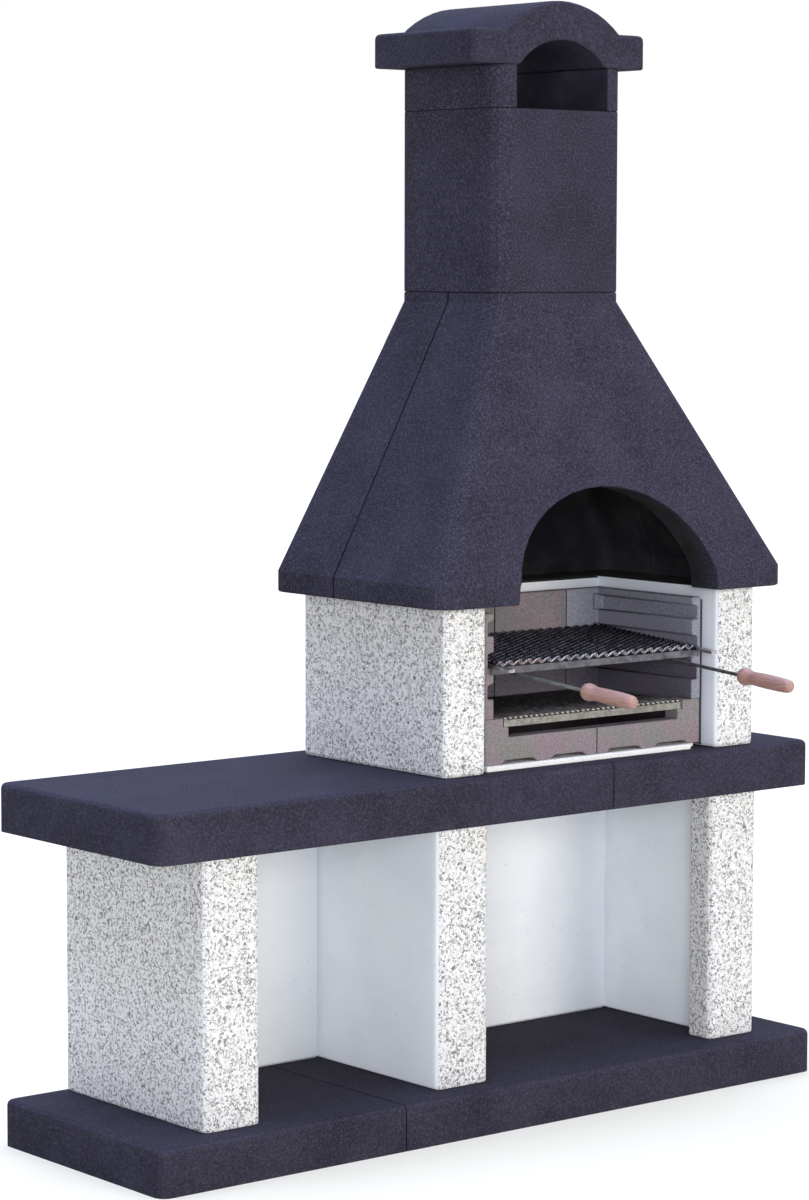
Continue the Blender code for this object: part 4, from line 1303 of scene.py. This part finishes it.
@dataclass
class CharcoalGrate:
    """Round bars on two cross bars, closed in front by a bent strip."""

    origin: Point = (0.316, -0.199, 0.857)
    half_width: float = 0.261
    front: float = 0.003
    back: float = 0.309
    bar_level: float = 0.0178
    bar: float = 0.005
    pitch: float = 0.015
    bars: int = 35
    bar_sides: int = 10
    cross_depth: float = 0.008
    # The back of each cross bar.
    cross_places: tuple[float, float] = (0.1081, 0.3087)
    cross_low: float = 0.0003
    arris: float = 0.0012

    def build_bars(self) -> None:
        """Lay the bars on their cross bars."""
        bm = bmesh.new()
        for number in range(self.bars):
            x = (number - (self.bars - 1) / 2) * self.pitch
            path = [Vector((x, y, self.bar_level)) for y in (self.front, self.back)]
            sweep(bm, path, Vector((1, 0, 0)), self.bar / 2, self.bar_sides)
        size = Vector((2 * self.half_width, self.cross_depth, self.bar_level - self.cross_low))
        for back in self.cross_places:
            made = bmesh.ops.create_cube(bm, size=1.0)["verts"]
            bmesh.ops.scale(bm, vec=size, verts=made)
            centre = Vector((0, back - self.cross_depth / 2, self.cross_low + size.z / 2))
            bmesh.ops.translate(bm, vec=centre, verts=made)
            round_arrises(bm, [edge for edge in bm.edges if edge.verts[0] in made], self.arris)
        tips = Region(high=(FAR, self.origin[1] + self.front + self.bar, FAR))
        finish = Covered(slot=Slot.SOOTED, metallic=0.8, ground=SootedSteel(),
                         cover=GalvanisedStrip(light="#A9A394", dark="#979081"), where=tips)
        piece = add_piece("grate_bars", bm, finish, Body.GRATE, Matrix.Translation(self.origin))
        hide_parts("charcoal_grate")

    def build(self) -> None:
        """Build the bars and dress the strip."""
        self.build_bars()
        dress(("grate_front_strip",), GalvanisedStrip())


@dataclass(frozen=True)
class Lamp:
    """A soft far light that comes from one direction."""

    name: str
    towards: Point
    strength: float
    colour: str
    spread: float

    def hang(self) -> None:
        """Add the lamp to the scene."""
        data = bpy.data.lights.new(self.name, "SUN")
        data.energy, data.angle = self.strength, self.spread
        data.color = linear(self.colour)[:3]
        lamp = add_object(self.name, data)
        lamp.rotation_euler = Vector(self.towards).to_track_quat("Z", "Y").to_euler()


@dataclass
class Studio:
    """Camera, lamps, backdrop and floor."""

    eye: Point = (-4.907, -5.951, 1.85)
    yaw: float = math.radians(39.15)
    pitch: float = -0.0943
    roll: float = 0.002
    # The lens and the picture's longer side, in millimetres of a full-frame camera.
    lens: float = 106.80
    sensor: float = 36.0
    nearest: float = 0.1
    furthest: float = 240.0
    lamps: tuple[Lamp, ...] = (
        Lamp("key", (0.25, -1.0, 0.13), 1.52, "#FFFAF3", math.radians(26)),
        Lamp("fill", (-0.85, -0.95, 0.12), 1.60, "#F1F4FF", math.radians(26)),
        Lamp("sky", (0.06, 0.16, 1.0), 4.9, "#C4D7FF", math.radians(70)),
    )
    ambient: str = "#E3EBFA"
    ambient_strength: float = 0.39
    backdrop: str = "#FFFFFF"
    floor_reach: float = 60.0
    floor_grey: str = "#D2C8B2"
    floor_lift: float = 0.36

    def set_camera(self) -> None:
        """Put the camera where the photograph was taken from."""
        ahead = Vector((math.sin(self.yaw) * math.cos(self.pitch), math.cos(self.yaw) * math.cos(self.pitch),
                        math.sin(self.pitch)))
        right = Vector((math.cos(self.yaw), -math.sin(self.yaw), 0))
        up = right.cross(ahead)
        side = right * math.cos(self.roll) + up * math.sin(self.roll)
        top = up * math.cos(self.roll) - right * math.sin(self.roll)
        data = bpy.data.cameras.new("photo_camera")
        data.lens, data.sensor_width, data.sensor_fit = self.lens, self.sensor, "AUTO"
        data.clip_start, data.clip_end = self.nearest, self.furthest
        camera = add_object("photo_camera", data)
        camera.matrix_world = Matrix.Translation(self.eye) @ Matrix((side, top, -ahead)).transposed().to_4x4()
        bpy.context.scene.camera = camera

    def set_world(self) -> None:
        """Make the air: soft light on the object, and white wherever it is seen or mirrored."""
        world = bpy.data.worlds.new("studio")
        bpy.context.scene.world = world
        tree = empty_tree(world)
        rays = add_node(tree, "LightPath", out="Is Camera Ray")
        seen = rays
        for kind in ("Is Glossy Ray", "Is Transmission Ray"):
            seen = add_node(tree, "Math", {0: seen, 1: rays.node.outputs[kind]}, operation="MAXIMUM")
        soft = add_node(tree, "Background", {"Color": self.ambient, "Strength": self.ambient_strength})
        white = add_node(tree, "Background", {"Color": self.backdrop, "Strength": 1.0})
        both = add_node(tree, "MixShader", {0: seen, 1: soft, 2: white})
        add_node(tree, "OutputWorld", {"Surface": both})

    def lay_floor(self) -> None:
        """Lay a pale floor that takes the object's shadow and is lifted to white for the camera."""
        bm = bmesh.new()
        bmesh.ops.create_grid(bm, x_segments=1, y_segments=1, size=self.floor_reach)
        material = bpy.data.materials.new("studio_floor")
        tree = empty_tree(material)
        matt = add_node(tree, "BsdfDiffuse", {"Color": self.floor_grey})
        camera = add_node(tree, "LightPath", out="Is Camera Ray")
        lift = add_node(tree, "Math", {0: camera, 1: self.floor_lift}, operation="MULTIPLY")
        glow = add_node(tree, "Emission", {"Strength": lift})
        both = add_node(tree, "AddShader", {0: matt, 1: glow})
        add_node(tree, "OutputMaterial", {"Surface": both})
        add_object("floor", to_mesh("floor", bm, material))

    def build(self) -> None:
        """Set up the whole studio."""
        bpy.context.scene.view_settings.view_transform = "Standard"
        self.set_camera()
        self.set_world()
        for lamp in self.lamps:
            lamp.hang()
        self.lay_floor()


def main() -> None:
    """Build the studio and every sub-assembly."""
    logging.basicConfig(level=logging.INFO, format="%(message)s")
    for part in (Studio(), Masonry(), Lining(), CookingGrill(), CharcoalGrate()):
        part.build()
        LOG.info("%s done", type(part).__name__)


if __name__ == "__main__":
    main()
